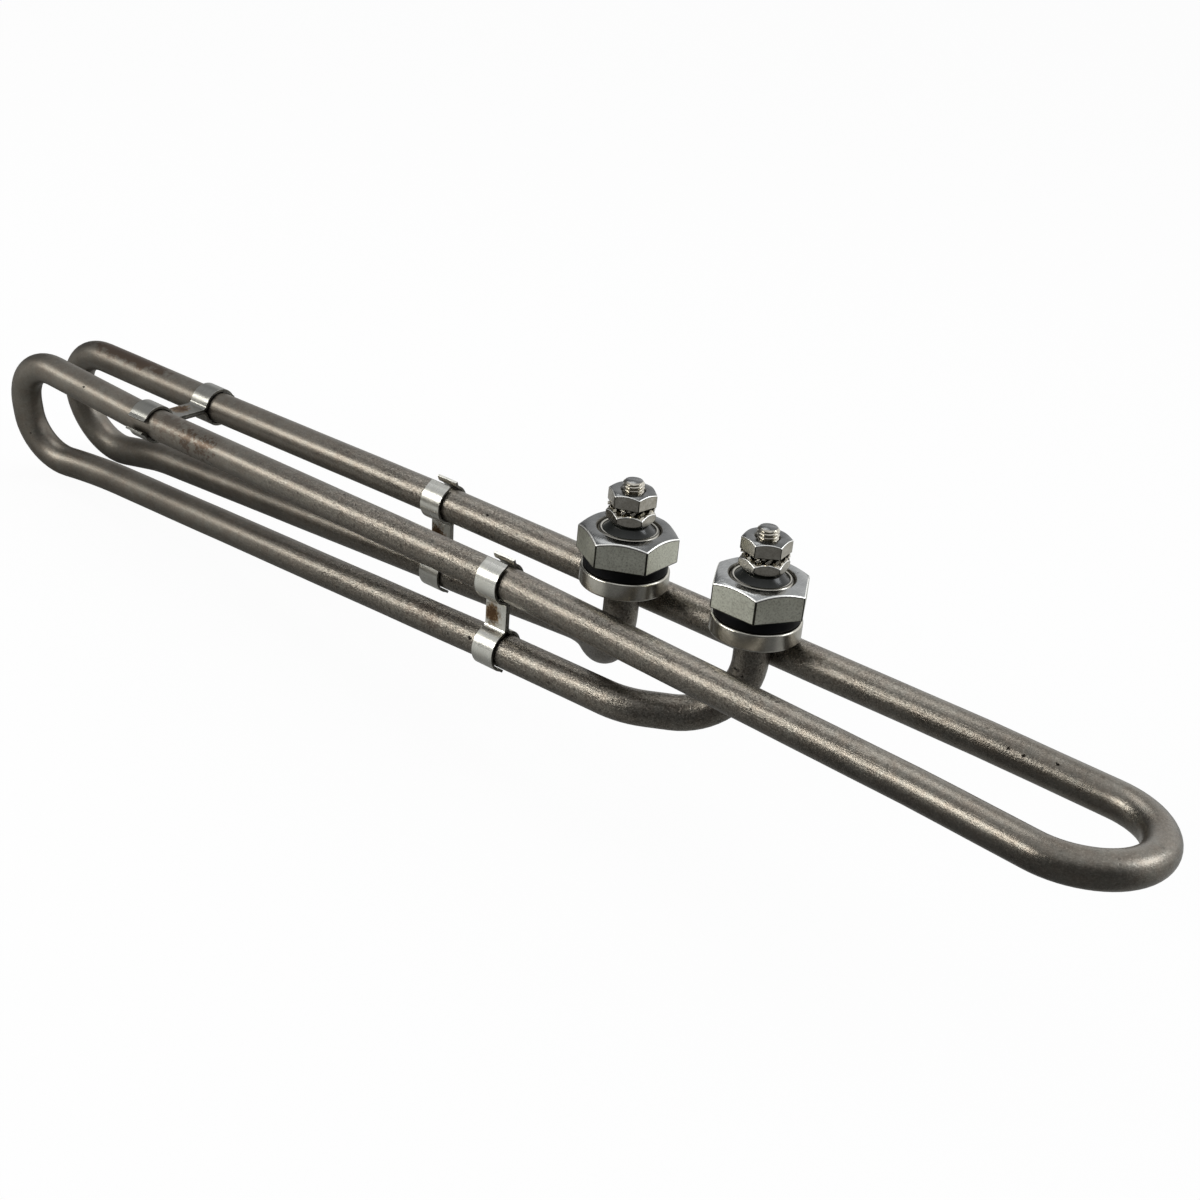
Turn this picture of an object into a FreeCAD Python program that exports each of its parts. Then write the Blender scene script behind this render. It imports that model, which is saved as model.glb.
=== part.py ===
import FreeCAD, Part
import math
import os

import Sketcher
from FreeCAD import Placement, Rotation, Vector

# Tubular heating element, as fitted in the evaporator or water tray of a refrigeration unit.
# One mineral-filled sheath tube is bent into four long runs: it goes down from the left terminal,
# along the lower rear run, up round the rear loop, along the upper rear run, round the right-hand
# bend, back along the upper front run, down round the front loop, along the lower front run and up
# into the right terminal. Three clips, each of two stamped strips spot-welded back to back, hold the
# runs in pairs. Each terminal is a flanged bushing brazed to the tube, clamped through a wall by a
# thin hexagon nut with a rubber gasket, and has a stud with two nuts and a toothed washer.
#
# Frame, in millimetres: X runs along the tubes towards the right-hand bend, Y to the rear and Z up
# along the studs. The origin lies midway between the two terminals, on the flanges' upper faces,
# where the wall that carries the element would lie.

doc = FreeCAD.newDocument("HeatingElement")

# Driving dimensions, in millimetres unless the description says otherwise
SIZES = (
    ("sheath_diameter", 8.0, "outer diameter of the sheath tube"),
    ("sheath_wall", 0.9, "wall of the sheath tube"),
    ("coil_diameter", 3.6, "outer diameter of the wound resistance wire"),
    ("cold_pin_diameter", 2.6, "diameter of the cold pin inside the sheath"),
    ("terminal_spacing", 33.4, "distance between the two terminals along X"),
    ("terminal_stagger", 3.2, "how far the right terminal stands behind the left one"),
    ("collar_clearance", 1.6, "gap between the bushings' collars and the upper runs"),
    ("elbow_drop", 16.3, "lower elbows below the upper runs"),
    ("riser_bend_radius", 15.5, "bend between a terminal's riser and its lower elbow"),
    ("elbow_bend_radius", 16.0, "bend between a lower elbow and its lower run"),
    ("clip_bend_radius", 60.0, "gentle bends where a run meets a clip"),
    ("front_dip_bend_radius", 155.0, "bend where the lower front run dips to its loop"),
    ("rear_dip_bend_radius", 70.0, "bend where the lower rear run dips to its loop"),
    ("flare_bend_radius", 20.6, "bend where the upper runs flare to the right-hand bend"),
    ("bundle_offset", 2.1, "middle of the upper runs in front of the terminals' line"),
    ("upper_spacing", 21.9, "upper runs at the upright clips, axis to axis"),
    ("end_spacing", 20.3, "upper runs at the end clip, axis to axis"),
    ("end_offset", 3.1, "middle of the upper runs at the end clip, in front of the line"),
    ("flare_length", 45.1, "where the upper runs start to flare, left of the bend's far side"),
    ("flare_spacing", 27.5, "upper runs where the flare starts, axis to axis"),
    ("flare_offset", 5.1, "middle of the upper runs at the flare, in front of the line"),
    ("bend_reach", 114.9, "tube axis at the far side of the right-hand bend"),
    ("bend_spacing", 33.2, "width of the right-hand bend, axis to axis"),
    ("bend_offset", 7.0, "middle of the right-hand bend, in front of the line"),
    ("bend_sag", 1.5, "rear corner of the right-hand bend below the upper runs"),
    ("bend_rise", 0.5, "front corner of the right-hand bend above the upper runs"),
    ("front_elbow_along", 4.9, "front elbow, left of the middle"),
    ("front_elbow_offset", 12.6, "front elbow, in front of the line"),
    ("rear_elbow_along", 34.3, "rear elbow, left of the middle"),
    ("rear_elbow_offset", 10.5, "rear elbow, behind the line"),
    ("front_clip_along", 42.6, "middle of the front clip, left of the middle"),
    ("front_tier_gap", 17.0, "front runs at the front clip, upper axis to lower axis"),
    ("front_lower_offset", 12.4, "lower front run at its clip, in front of the line"),
    ("rear_clip_along", 80.8, "middle of the rear clip, left of the middle"),
    ("rear_tier_gap", 18.4, "rear runs at the rear clip, upper axis to lower axis"),
    ("rear_lower_offset", 9.9, "lower rear run at its clip, behind the line"),
    ("end_clip_along", 162.4, "middle of the end clip, left of the middle"),
    ("front_dip_length", 23.1, "where the lower front run starts to dip, right of its loop's far side"),
    ("front_dip_offset", 6.35, "lower front run where it dips, in front of the line"),
    ("front_dip_gap", 25.6, "lower front run where it dips, below the upper runs"),
    ("front_loop_reach", 216.0, "tube axis at the far side of the front loop"),
    ("front_loop_rise", 3.15, "upper corner of the front loop above the upper runs"),
    ("front_loop_drop", 27.0, "lower corner of the front loop below the upper runs"),
    ("front_loop_top_offset", 14.4, "upper corner of the front loop, in front of the line"),
    ("front_loop_low_offset", 9.3, "lower corner of the front loop, in front of the line"),
    ("rear_dip_length", 32.0, "where the lower rear run starts to dip, right of its loop's far side"),
    ("rear_dip_offset", 11.2, "lower rear run where it dips, behind the line"),
    ("rear_dip_gap", 24.5, "lower rear run where it dips, below the upper runs"),
    ("rear_loop_reach", 219.9, "tube axis at the far side of the rear loop"),
    ("rear_loop_rise", 0.35, "upper corner of the rear loop above the upper runs"),
    ("rear_loop_drop", 31.0, "lower corner of the rear loop below the upper runs"),
    ("rear_loop_top_offset", 6.3, "upper corner of the rear loop, behind the line"),
    ("rear_loop_low_offset", 11.7, "lower corner of the rear loop, behind the line"),
    ("flange_diameter", 19.8, "collar of the bushing"),
    ("flange_thickness", 4.1, "thickness of the collar"),
    ("shank_diameter", 14.0, "threaded shank of the bushing, over its thread"),
    ("shank_length", 9.1, "shank above the sealing face"),
    ("shank_chamfer", 0.6, "chamfer at the top of the shank"),
    ("collar_chamfer", 0.3, "chamfer on the collar's edges"),
    ("cup_diameter", 11.8, "counterbore of the bushing, which holds the seal"),
    ("cup_depth", 6.0, "depth of the counterbore"),
    ("braze_gap", 0.03, "gap between the sheath and the bushing's bore"),
    ("thread_gap", 0.05, "gap between a nut's bore and what it is screwed on"),
    ("gasket_diameter", 18.8, "outer diameter of the gasket"),
    ("gasket_thickness", 2.6, "thickness of the clamped gasket"),
    ("gasket_bulge", 0.5, "rounding of the gasket's squeezed outer edge"),
    ("big_nut_flats", 19.5, "mounting nut across flats"),
    ("big_nut_height", 6.6, "height of the mounting nut"),
    ("big_countersink", 0.3, "width of the mounting nut's countersink"),
    ("left_nut_yaw", 30.0, "turn of the left mounting nut, degrees"),
    ("right_nut_yaw", 0.0, "turn of the right mounting nut, degrees"),
    ("stud_diameter", 4.83, "stud of the terminal, over its thread"),
    ("stud_proud", 2.1, "tip of the stud above the upper nut"),
    ("stud_lift", 1.1, "lower end of the stud above the cup's floor"),
    ("stud_chamfer", 0.5, "chamfer at the tip of the stud"),
    ("seal_rise", 1.5, "top of the seal, where the lower nut stands, above the shank"),
    ("seal_shoulder", 4.4, "radius of the seal's flat top"),
    ("seal_rounding", 1.2, "rounding of the seal's shoulder"),
    ("small_nut_flats", 9.5, "terminal nuts across flats"),
    ("lower_nut_height", 3.3, "height of the lower terminal nut"),
    ("upper_nut_height", 3.2, "height of the upper terminal nut"),
    ("small_countersink", 0.4, "width of a terminal nut's countersink"),
    ("left_lower_yaw", 34.8, "turn of the left lower terminal nut, degrees"),
    ("right_lower_yaw", 42.5, "turn of the right lower terminal nut, degrees"),
    ("left_upper_yaw", 23.6, "turn of the left upper terminal nut, degrees"),
    ("right_upper_yaw", 39.0, "turn of the right upper terminal nut, degrees"),
    ("nut_corner_land", 0.96, "share of a nut's flat that its chamfer leaves"),
    ("lower_nut_land", 0.9, "the same share on the lower terminal nuts, whose corners are cut deeper"),
    ("washer_rim_diameter", 7.6, "toothed washer over its plain ring"),
    ("washer_diameter", 10.4, "toothed washer over its teeth"),
    ("washer_sheet", 0.6, "sheet of the toothed washer"),
    ("tooth_breadth", 1.05, "breadth of one tooth"),
    ("tooth_twist", 35.0, "twist of a tooth out of the washer's plane, degrees"),
    ("tooth_count", 15.0, "number of teeth"),
    ("strip_width", 6.1, "width of a clip's strips, along the tubes"),
    ("strip_sheet", 0.65, "sheet of a clip's strips"),
    ("clip_gap", 0.3, "gap between a strip and the tube that it wraps"),
    ("web_bend_radius", 1.5, "bend from a strip's wrap to its flat web"),
    ("upright_wrap", 158.0, "wrap of an upright clip's plain strip round a tube, degrees"),
    ("upright_opening", 50.0, "gap between the ends of an upright clip's two strips, degrees"),
    ("end_wrap", 146.0, "wrap of the end clip's plain strip round a tube, degrees"),
    ("end_opening", 60.0, "gap between the ends of the end clip's two strips, degrees"),
    ("plain_lip_flare", 14.0, "flare of the plain strip's free ends, degrees"),
    ("lipped_lip_flare", 44.0, "flare of the lipped strip's free ends, degrees"),
    ("lip_bend_radius", 1.2, "bend at the root of a free end's lip"),
    ("lip_length", 0.9, "straight end of a lip"),
    ("clip_margin", 1.95, "straight run past each edge of a clip"),
    ("weld_diameter", 2.6, "dimple of the spot weld in each web"),
    ("weld_depth", 0.12, "depth of that dimple"),
)

sheet = doc.addObject("Spreadsheet::Sheet", "Sizes")
for row, (alias, value, meaning) in enumerate(SIZES, start=1):
    sheet.set(f"A{row}", meaning)
    sheet.set(f"B{row}", str(value))
    sheet.setAlias(f"B{row}", alias)
doc.recompute()


def size(alias):
    """Value of one driving dimension, in millimetres or degrees."""
    return float(sheet.get(alias))


def value_of(expression):
    """Number that an expression of the sheet's cells stands for now."""
    return float(sheet.evalExpression(expression))


# The route of the sheath

RUN_RATIO = 0.999        # share of a run that its bends may take, so that no edge has zero length
LEAST_ANGLE = 1e-6       # a turn of fewer radians is no bend
VOLUME_SLACK = 0.005     # how far a swept volume may be from its section times its length
SAME_PLACE = 1e-4        # millimetres within which an edge is the one that is looked for


def tangent_lengths(points, radii, turns):
    """Tangent length of each bend; where two bends need more than their run has, both tighten alike."""
    tangents = [radius * math.tan(turn / 2) for radius, turn in zip(radii, turns)]
    fitted = list(tangents)
    for index in range(len(points) - 1):
        needed = tangents[index] + tangents[index + 1]
        room = RUN_RATIO * (points[index + 1] - points[index]).Length
        if needed > room:
            for bend in (index, index + 1):
                fitted[bend] = min(fitted[bend], tangents[bend] * room / needed)
    return fitted


def rounded_edges(corners):
    """Straight runs joined by tangent arcs through (point, radius) corners; the ends have radius 0."""
    points = [point for point, _ in corners]
    radii = [radius for _, radius in corners]
    turns = [0.0]
    for before, point, after in zip(points, points[1:], points[2:]):
        turns.append((point - before).getAngle(after - point))
    turns.append(0.0)
    tangents = tangent_lengths(points, radii, turns)
    edges = []
    start = points[0]
    for index in range(1, len(points) - 1):
        tangent, turn, point = tangents[index], turns[index], points[index]
        if turn < LEAST_ANGLE:
            continue
        back = (points[index - 1] - point).normalize()
        ahead = (points[index + 1] - point).normalize()
        radius = tangent / math.tan(turn / 2)
        arc_start = point + back * tangent
        arc_end = point + ahead * tangent
        arc_middle = point + (back + ahead).normalize() * (math.hypot(tangent, radius) - radius)
        edges.append(Part.LineSegment(start, arc_start).toShape())
        edges.append(Part.Arc(arc_start, arc_middle, arc_end).toShape())
        start = arc_end
    edges.append(Part.LineSegment(start, points[-1]).toShape())
    return edges


def hairpin_radius(before, first, second, after):
    """Radius of the one round bend that fills the run between the two corners of a hairpin."""
    first_turn = math.pi - (before - first).getAngle(second - first)
    second_turn = math.pi - (first - second).getAngle(after - second)
    span = (second - first).Length
    return RUN_RATIO * span / (math.tan(first_turn / 2) + math.tan(second_turn / 2))


def hairpin(before, first, second, after):
    """The two corners of a hairpin, with the radius that makes them one round bend."""
    radius = hairpin_radius(before, first, second, after)
    return [(first, radius), (second, radius)]


def clip_passage(along, across, height, towards):
    """Two corners that keep a run parallel to X through a clip; towards is the way of travel along X."""
    land = (size("strip_width") / 2 + size("clip_margin")) * towards
    radius = size("clip_bend_radius")
    return [(Vector(along - land, across, height), radius),
            (Vector(along + land, across, height), radius)]


half_spacing = size("terminal_spacing") / 2
half_stagger = size("terminal_stagger") / 2
TERMINALS = {"left": (-half_spacing, -half_stagger), "right": (half_spacing, half_stagger)}
cup_floor = size("shank_length") - size("cup_depth")
upper_z = -size("flange_thickness") - size("collar_clearance") - size("sheath_diameter") / 2
elbow_z = upper_z - size("elbow_drop")

upper_rear_y = size("upper_spacing") / 2 - size("bundle_offset")
upper_front_y = -size("upper_spacing") / 2 - size("bundle_offset")
end_rear_y = size("end_spacing") / 2 - size("end_offset")
end_front_y = -size("end_spacing") / 2 - size("end_offset")
front_clip_x = -size("front_clip_along")
rear_clip_x = -size("rear_clip_along")
end_clip_x = -size("end_clip_along")
flare_x = size("bend_reach") - size("flare_length")
front_low_y = -size("front_lower_offset")
rear_low_y = size("rear_lower_offset")
front_low_z = upper_z - size("front_tier_gap")
rear_low_z = upper_z - size("rear_tier_gap")


def terminal_corners(side, elbow):
    """From a terminal's cup floor down to its elbow: the riser's end, its bend and the elbow's bend."""
    x, y = TERMINALS[side]
    return [(Vector(x, y, cup_floor), 0.0),
            (Vector(x, y, elbow_z), size("riser_bend_radius")),
            (elbow, size("elbow_bend_radius"))]


def rear_half():
    """Corners from the left terminal to the flare of the upper rear run."""
    elbow = Vector(-size("rear_elbow_along"), size("rear_elbow_offset"), elbow_z)
    low = clip_passage(rear_clip_x, rear_low_y, rear_low_z, -1)
    reach = -size("rear_loop_reach")
    dip = Vector(reach + size("rear_dip_length"), size("rear_dip_offset"), upper_z - size("rear_dip_gap"))
    loop_low = Vector(reach, size("rear_loop_low_offset"), upper_z - size("rear_loop_drop"))
    loop_top = Vector(reach, size("rear_loop_top_offset"), upper_z + size("rear_loop_rise"))
    end = clip_passage(end_clip_x, end_rear_y, upper_z, 1)
    high = clip_passage(rear_clip_x, upper_rear_y, upper_z, 1)
    flare_y = size("flare_spacing") / 2 - size("flare_offset")
    flare = (Vector(flare_x, flare_y, upper_z), size("flare_bend_radius"))
    loop = hairpin(dip, loop_low, loop_top, end[0][0])
    return (terminal_corners("left", elbow) + low + [(dip, size("rear_dip_bend_radius"))] + loop + end
            + high + [flare])


def front_half():
    """Corners from the right terminal to the flare of the upper front run."""
    elbow = Vector(-size("front_elbow_along"), -size("front_elbow_offset"), elbow_z)
    low = clip_passage(front_clip_x, front_low_y, front_low_z, -1)
    reach = -size("front_loop_reach")
    dip = Vector(reach + size("front_dip_length"), -size("front_dip_offset"), upper_z - size("front_dip_gap"))
    loop_low = Vector(reach, -size("front_loop_low_offset"), upper_z - size("front_loop_drop"))
    loop_top = Vector(reach, -size("front_loop_top_offset"), upper_z + size("front_loop_rise"))
    end = clip_passage(end_clip_x, end_front_y, upper_z, 1)
    high = clip_passage(front_clip_x, upper_front_y, upper_z, 1)
    flare_y = -size("flare_spacing") / 2 - size("flare_offset")
    flare = (Vector(flare_x, flare_y, upper_z), size("flare_bend_radius"))
    loop = hairpin(dip, loop_low, loop_top, end[0][0])
    return (terminal_corners("right", elbow) + low + [(dip, size("front_dip_bend_radius"))] + loop + end
            + high + [flare])


def route_edges():
    """Edges of the tube's axis, from the left terminal to the right one."""
    rear = rear_half()
    front = front_half()
    reach = size("bend_reach")
    bend_rear = Vector(reach, size("bend_spacing") / 2 - size("bend_offset"), upper_z - size("bend_sag"))
    bend_front = Vector(reach, -size("bend_spacing") / 2 - size("bend_offset"), upper_z + size("bend_rise"))
    bend = hairpin(rear[-1][0], bend_rear, bend_front, front[-1][0])
    return rounded_edges(rear + bend + front[::-1])


# A cold pin reaches round each bend of a terminal's own corners, with the runs before, between and
# after them, and the wound wire has the rest.
cold_bends = len(terminal_corners("left", Vector())) - 1
cold_edges = 2 * cold_bends + 1
route = route_edges()
left_cold_route = Part.Wire(route[:cold_edges])
hot_route = Part.Wire(route[cold_edges:-cold_edges])
right_cold_route = Part.Wire(route[-cold_edges:])
whole_route = Part.Wire(route)


def disc(wire, radius, hole_radius=0.0):
    """Round face across the start of a wire, with a hole in it if a hole radius is given."""
    first = wire.OrderedEdges[0]
    start = first.valueAt(first.FirstParameter)
    normal = first.tangentAt(first.FirstParameter)
    circles = [Part.Wire(Part.Circle(start, normal, radius).toShape())]
    if hole_radius:
        circles.append(Part.Wire(Part.Circle(start, normal, hole_radius).toShape()))
    return Part.makeFace(circles, "Part::FaceMakerBullseye")


def swept(wire, radius, hole_radius=0.0):
    """Round bar or tube along a wire, whose volume must be its section times its length."""
    face = disc(wire, radius, hole_radius)
    solid = wire.makePipe(face)
    if solid.ShapeType != "Solid":
        solid = solid.Solids[0]
    expected = face.Area * wire.Length
    if abs(abs(solid.Volume) / expected - 1) > VOLUME_SLACK:
        raise ValueError(f"swept volume {solid.Volume:.1f}, section times length {expected:.1f}")
    return solid


def add_shape(label, shape):
    """One sub-part whose shape is computed here rather than by a feature."""
    feature = doc.addObject("Part::Feature", label)
    feature.Shape = shape
    feature.Label = label
    return feature


def sheath_tube():
    """The bent tube, open at both ends, which stand on the floors of the bushings' cups."""
    outer = size("sheath_diameter") / 2
    return swept(whole_route, outer, outer - size("sheath_wall"))


def cold_pin(side, cold_route):
    """Thin pin along the tube's axis, from the wound wire up to the root of the stud it is welded to."""
    radius = size("cold_pin_diameter") / 2
    neck = Part.makeCylinder(radius, size("stud_lift"), Vector(*TERMINALS[side], cup_floor))
    return swept(cold_route, radius).fuse(neck).removeSplitter()


add_shape("sheath_tube", sheath_tube())
coil = add_shape("resistance_coil", swept(hot_route, size("coil_diameter") / 2))
left_pin = add_shape("left_cold_pin", cold_pin("left", left_cold_route))
right_pin = add_shape("right_cold_pin", cold_pin("right", right_cold_route))
filled_bore = swept(whole_route, size("sheath_diameter") / 2 - size("sheath_wall"))
add_shape("magnesia_fill", filled_bore.cut([coil.Shape, left_pin.Shape, right_pin.Shape]))


# Turned and moulded pieces of the terminals

def origin_feature(body, role):
    """One of a body's own origin planes or axes, by its role."""
    return next(item for item in body.Origin.OriginFeatures if item.Role == role)


def half_section(body, name, corners):
    """Closed outline on the body's XZ plane, each corner held by (radius, height) expressions."""
    sketch = body.newObject("Sketcher::SketchObject", name)
    sketch.AttachmentSupport = [(origin_feature(body, "XZ_Plane"), "")]
    sketch.MapMode = "FlatFace"
    places = [(value_of(radius), value_of(height)) for radius, height in corners]
    count = len(corners)
    for index in range(count):
        here = Vector(*places[index], 0)
        there = Vector(*places[(index + 1) % count], 0)
        sketch.addGeometry(Part.LineSegment(here, there), False)
    for index in range(count):
        sketch.addConstraint(Sketcher.Constraint("Coincident", index, 2, (index + 1) % count, 1))
    for index, (radius, height) in enumerate(corners):
        for kind, place, expression in (("DistanceX", places[index][0], radius),
                                        ("DistanceY", places[index][1], height)):
            number = sketch.addConstraint(Sketcher.Constraint(kind, -1, 1, index, 1, place))
            sketch.setExpression(f"Constraints[{number}]", expression)
    return sketch


def revolved(body, sketch):
    """Full revolution of a sketch about the body's Z axis."""
    turned = body.newObject("PartDesign::Revolution", sketch.Name + "_turned")
    turned.Profile = sketch
    turned.ReferenceAxis = (origin_feature(body, "Z_Axis"), [""])
    turned.Angle = 360
    sketch.Visibility = False
    body.Tip = turned
    return turned


def stand_at_terminal(item, side, height="0"):
    """Place a piece on a terminal's axis, at a height above the sealing face."""
    sign = -1 if side == "left" else 1
    item.setExpression("Placement.Base.x", f"{sign} * Sizes.terminal_spacing / 2")
    item.setExpression("Placement.Base.y", f"{sign} * Sizes.terminal_stagger / 2")
    item.setExpression("Placement.Base.z", height)


def edge_at(feature, radius, height):
    """Name of a feature's round edge with a given radius and height."""
    for number, edge in enumerate(feature.Shape.Edges, start=1):
        curve = edge.Curve
        if isinstance(curve, Part.Circle) and abs(curve.Radius - radius) < SAME_PLACE:
            if abs(curve.Center.z - height) < SAME_PLACE:
                return f"Edge{number}"
    raise ValueError(f"no edge of radius {radius} at height {height}")


def add_turned(label, side, corners):
    """A turned piece at a terminal: one revolved half section in its own body."""
    body = doc.addObject("PartDesign::Body", label)
    body.Label = label
    revolved(body, half_section(body, label + "_section", corners))
    stand_at_terminal(body, side)
    return body


def round_edges(body, places, radius):
    """Fillet a turned body's round edges, found by their (radius, height)."""
    doc.recompute()
    turned = body.Tip
    names = [edge_at(turned, *place) for place in places]
    rounding = body.newObject("PartDesign::Fillet", turned.Name + "_rounded")
    rounding.Base = (turned, names)
    rounding.setExpression("Radius", radius)
    body.Tip = rounding


BORE = "Sizes.sheath_diameter / 2 + Sizes.braze_gap"
CUP = "Sizes.cup_diameter / 2"
CUP_FLOOR = "Sizes.shank_length - Sizes.cup_depth"
SHANK = "Sizes.shank_diameter / 2"
COLLAR = "Sizes.flange_diameter / 2"
STUD = "Sizes.stud_diameter / 2"
STUD_ROOT = f"({CUP_FLOOR} + Sizes.stud_lift)"
COLD_PIN = "Sizes.cold_pin_diameter / 2"
SEAL_TOP = "(Sizes.shank_length + Sizes.seal_rise)"
LOWER_NUT_TOP = f"({SEAL_TOP} + Sizes.lower_nut_height)"
TWISTED_HEIGHT = ("(Sizes.tooth_breadth * sin(Sizes.tooth_twist * 1deg)"
                  " + Sizes.washer_sheet * cos(Sizes.tooth_twist * 1deg))")
UPPER_NUT_SEAT = f"({LOWER_NUT_TOP} + {TWISTED_HEIGHT})"
STUD_TIP = f"({UPPER_NUT_SEAT} + Sizes.upper_nut_height + Sizes.stud_proud)"
BIG_BORE = f"({SHANK} + Sizes.thread_gap)"
SMALL_BORE = f"({STUD} + Sizes.thread_gap)"


def add_bushing(side):
    """Collar and shank in one turned piece, bored for the sheath and counterbored for the seal."""
    corners = [
        (BORE, "-Sizes.flange_thickness"),
        (f"{COLLAR} - Sizes.collar_chamfer", "-Sizes.flange_thickness"),
        (COLLAR, "-Sizes.flange_thickness + Sizes.collar_chamfer"),
        (COLLAR, "-Sizes.collar_chamfer"),
        (f"{COLLAR} - Sizes.collar_chamfer", "0"),
        (SHANK, "0"),
        (SHANK, "Sizes.shank_length - Sizes.shank_chamfer"),
        (f"{SHANK} - Sizes.shank_chamfer", "Sizes.shank_length"),
        (CUP, "Sizes.shank_length"),
        (CUP, CUP_FLOOR),
        (BORE, CUP_FLOOR),
    ]
    return add_turned(f"{side}_threaded_bushing", side, corners)


def add_seal(side):
    """Moulded seal that fills the cup round the pin and rises as a rounded shoulder to the lower nut."""
    corners = [
        (COLD_PIN, CUP_FLOOR),
        (CUP, CUP_FLOOR),
        (CUP, "Sizes.shank_length - 2 * Sizes.shank_chamfer"),
        ("Sizes.seal_shoulder", SEAL_TOP),
        (STUD, SEAL_TOP),
        (STUD, STUD_ROOT),
        (COLD_PIN, STUD_ROOT),
    ]
    body = add_turned(f"{side}_end_seal", side, corners)
    round_edges(body, [(size("seal_shoulder"), value_of(SEAL_TOP))], "Sizes.seal_rounding")
    return body


def add_stud(side):
    """Terminal stud, over the crests of its thread, welded on the cold pin's end."""
    corners = [
        ("0", STUD_ROOT),
        (STUD, STUD_ROOT),
        (STUD, f"{STUD_TIP} - Sizes.stud_chamfer"),
        (f"{STUD} - Sizes.stud_chamfer", STUD_TIP),
        ("0", STUD_TIP),
    ]
    return add_turned(f"{side}_terminal_stud", side, corners)


def add_gasket(side):
    """Rubber ring between the collar and the nut, its squeezed outer edge rounded."""
    outer = "Sizes.gasket_diameter / 2"
    corners = [
        (BIG_BORE, "0"),
        (outer, "0"),
        (outer, "Sizes.gasket_thickness"),
        (BIG_BORE, "Sizes.gasket_thickness"),
    ]
    body = add_turned(f"{side}_gasket", side, corners)
    outer_radius = size("gasket_diameter") / 2
    round_edges(body, [(outer_radius, 0.0), (outer_radius, size("gasket_thickness"))], "Sizes.gasket_bulge")
    return body


def bound(kind, name, **expressions):
    """A primitive whose properties are bound to expressions of the sheet's cells."""
    item = doc.addObject(kind, name)
    for prop, expression in expressions.items():
        item.setExpression(prop, expression)
    return item


def add_nut(label, side, flats, height, bore, countersink, seat, yaw, land_share, double_chamfer):
    """Hexagon nut: a prism trimmed by the cones of its chamfers, bored and countersunk at both ends."""
    steepness = "tan(60deg)"
    prism = bound("Part::Prism", label + "_prism", Circumradius=f"{flats} / 2 / cos(30deg)", Height=height)
    prism.Polygon = 6
    land = f"{flats} / 2 * {land_share}"
    wide = f"{land} + {height} * {steepness}"
    trims = [prism, bound("Part::Cone", label + "_top_chamfer", Radius1=wide, Radius2=land, Height=height)]
    if double_chamfer:
        trims.append(bound("Part::Cone", label + "_low_chamfer", Radius1=land, Radius2=wide, Height=height))
    blank = doc.addObject("Part::MultiCommon", label + "_blank")
    blank.Shapes = trims
    mouth = f"{bore} + {countersink}"
    drill = bound("Part::Cylinder", label + "_drill", Radius=bore, Height=height)
    top_sink = bound("Part::Cone", label + "_top_sink", Radius1=bore, Radius2=mouth, Height=countersink)
    top_sink.setExpression("Placement.Base.z", f"{height} - {countersink}")
    low_sink = bound("Part::Cone", label + "_low_sink", Radius1=mouth, Radius2=bore, Height=countersink)
    hole = doc.addObject("Part::MultiFuse", label + "_hole")
    hole.Shapes = [drill, top_sink, low_sink]
    nut = doc.addObject("Part::Cut", label)
    nut.Base = blank
    nut.Tool = hole
    nut.Label = label
    nut.Placement = Placement(Vector(0, 0, 0), Rotation(Vector(0, 0, 1), size(yaw)))
    nut.setExpression("Placement.Rotation.Angle", f"Sizes.{yaw} * 1deg")
    stand_at_terminal(nut, side, seat)
    return nut


def add_washer(label, side, seat):
    """External-tooth lock washer: a flat ring whose teeth are each twisted out of its plane."""
    body = doc.addObject("PartDesign::Body", label)
    body.Label = label
    ring = body.newObject("Sketcher::SketchObject", label + "_ring")
    ring.AttachmentSupport = [(origin_feature(body, "XY_Plane"), "")]
    ring.MapMode = "FlatFace"
    for radius in ("Sizes.washer_rim_diameter / 2", SMALL_BORE):
        number = ring.addGeometry(Part.Circle(Vector(0, 0, 0), Vector(0, 0, 1), value_of(radius)), False)
        ring.addConstraint(Sketcher.Constraint("Coincident", number, 3, -1, 1))
        held = ring.addConstraint(Sketcher.Constraint("Radius", number, value_of(radius)))
        ring.setExpression(f"Constraints[{held}]", radius)
    pad = body.newObject("PartDesign::Pad", label + "_pad")
    pad.Profile = ring
    pad.Midplane = True
    pad.setExpression("Length", "Sizes.washer_sheet")
    doc.recompute()
    tooth = body.newObject("PartDesign::AdditiveBox", label + "_tooth")
    root = "(Sizes.washer_rim_diameter / 2 - Sizes.washer_sheet)"
    tooth.setExpression("Length", f"Sizes.washer_diameter / 2 - {root}")
    tooth.setExpression("Width", "Sizes.tooth_breadth")
    tooth.setExpression("Height", "Sizes.washer_sheet")
    twist = math.radians(size("tooth_twist"))
    half_breadth = size("tooth_breadth") / 2
    half_sheet = size("washer_sheet") / 2
    corner_y = -half_breadth * math.cos(twist) + half_sheet * math.sin(twist)
    corner_z = -half_breadth * math.sin(twist) - half_sheet * math.cos(twist)
    tooth_root = size("washer_rim_diameter") / 2 - size("washer_sheet")
    tooth.Placement = Placement(Vector(tooth_root, corner_y, corner_z),
                                Rotation(Vector(1, 0, 0), size("tooth_twist")))
    doc.recompute()
    teeth = body.newObject("PartDesign::PolarPattern", label + "_teeth")
    teeth.Originals = [tooth]
    teeth.Axis = (origin_feature(body, "Z_Axis"), [""])
    teeth.Angle = 360
    teeth.setExpression("Occurrences", "Sizes.tooth_count")
    body.Tip = teeth
    stand_at_terminal(body, side, seat)
    return body


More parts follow.
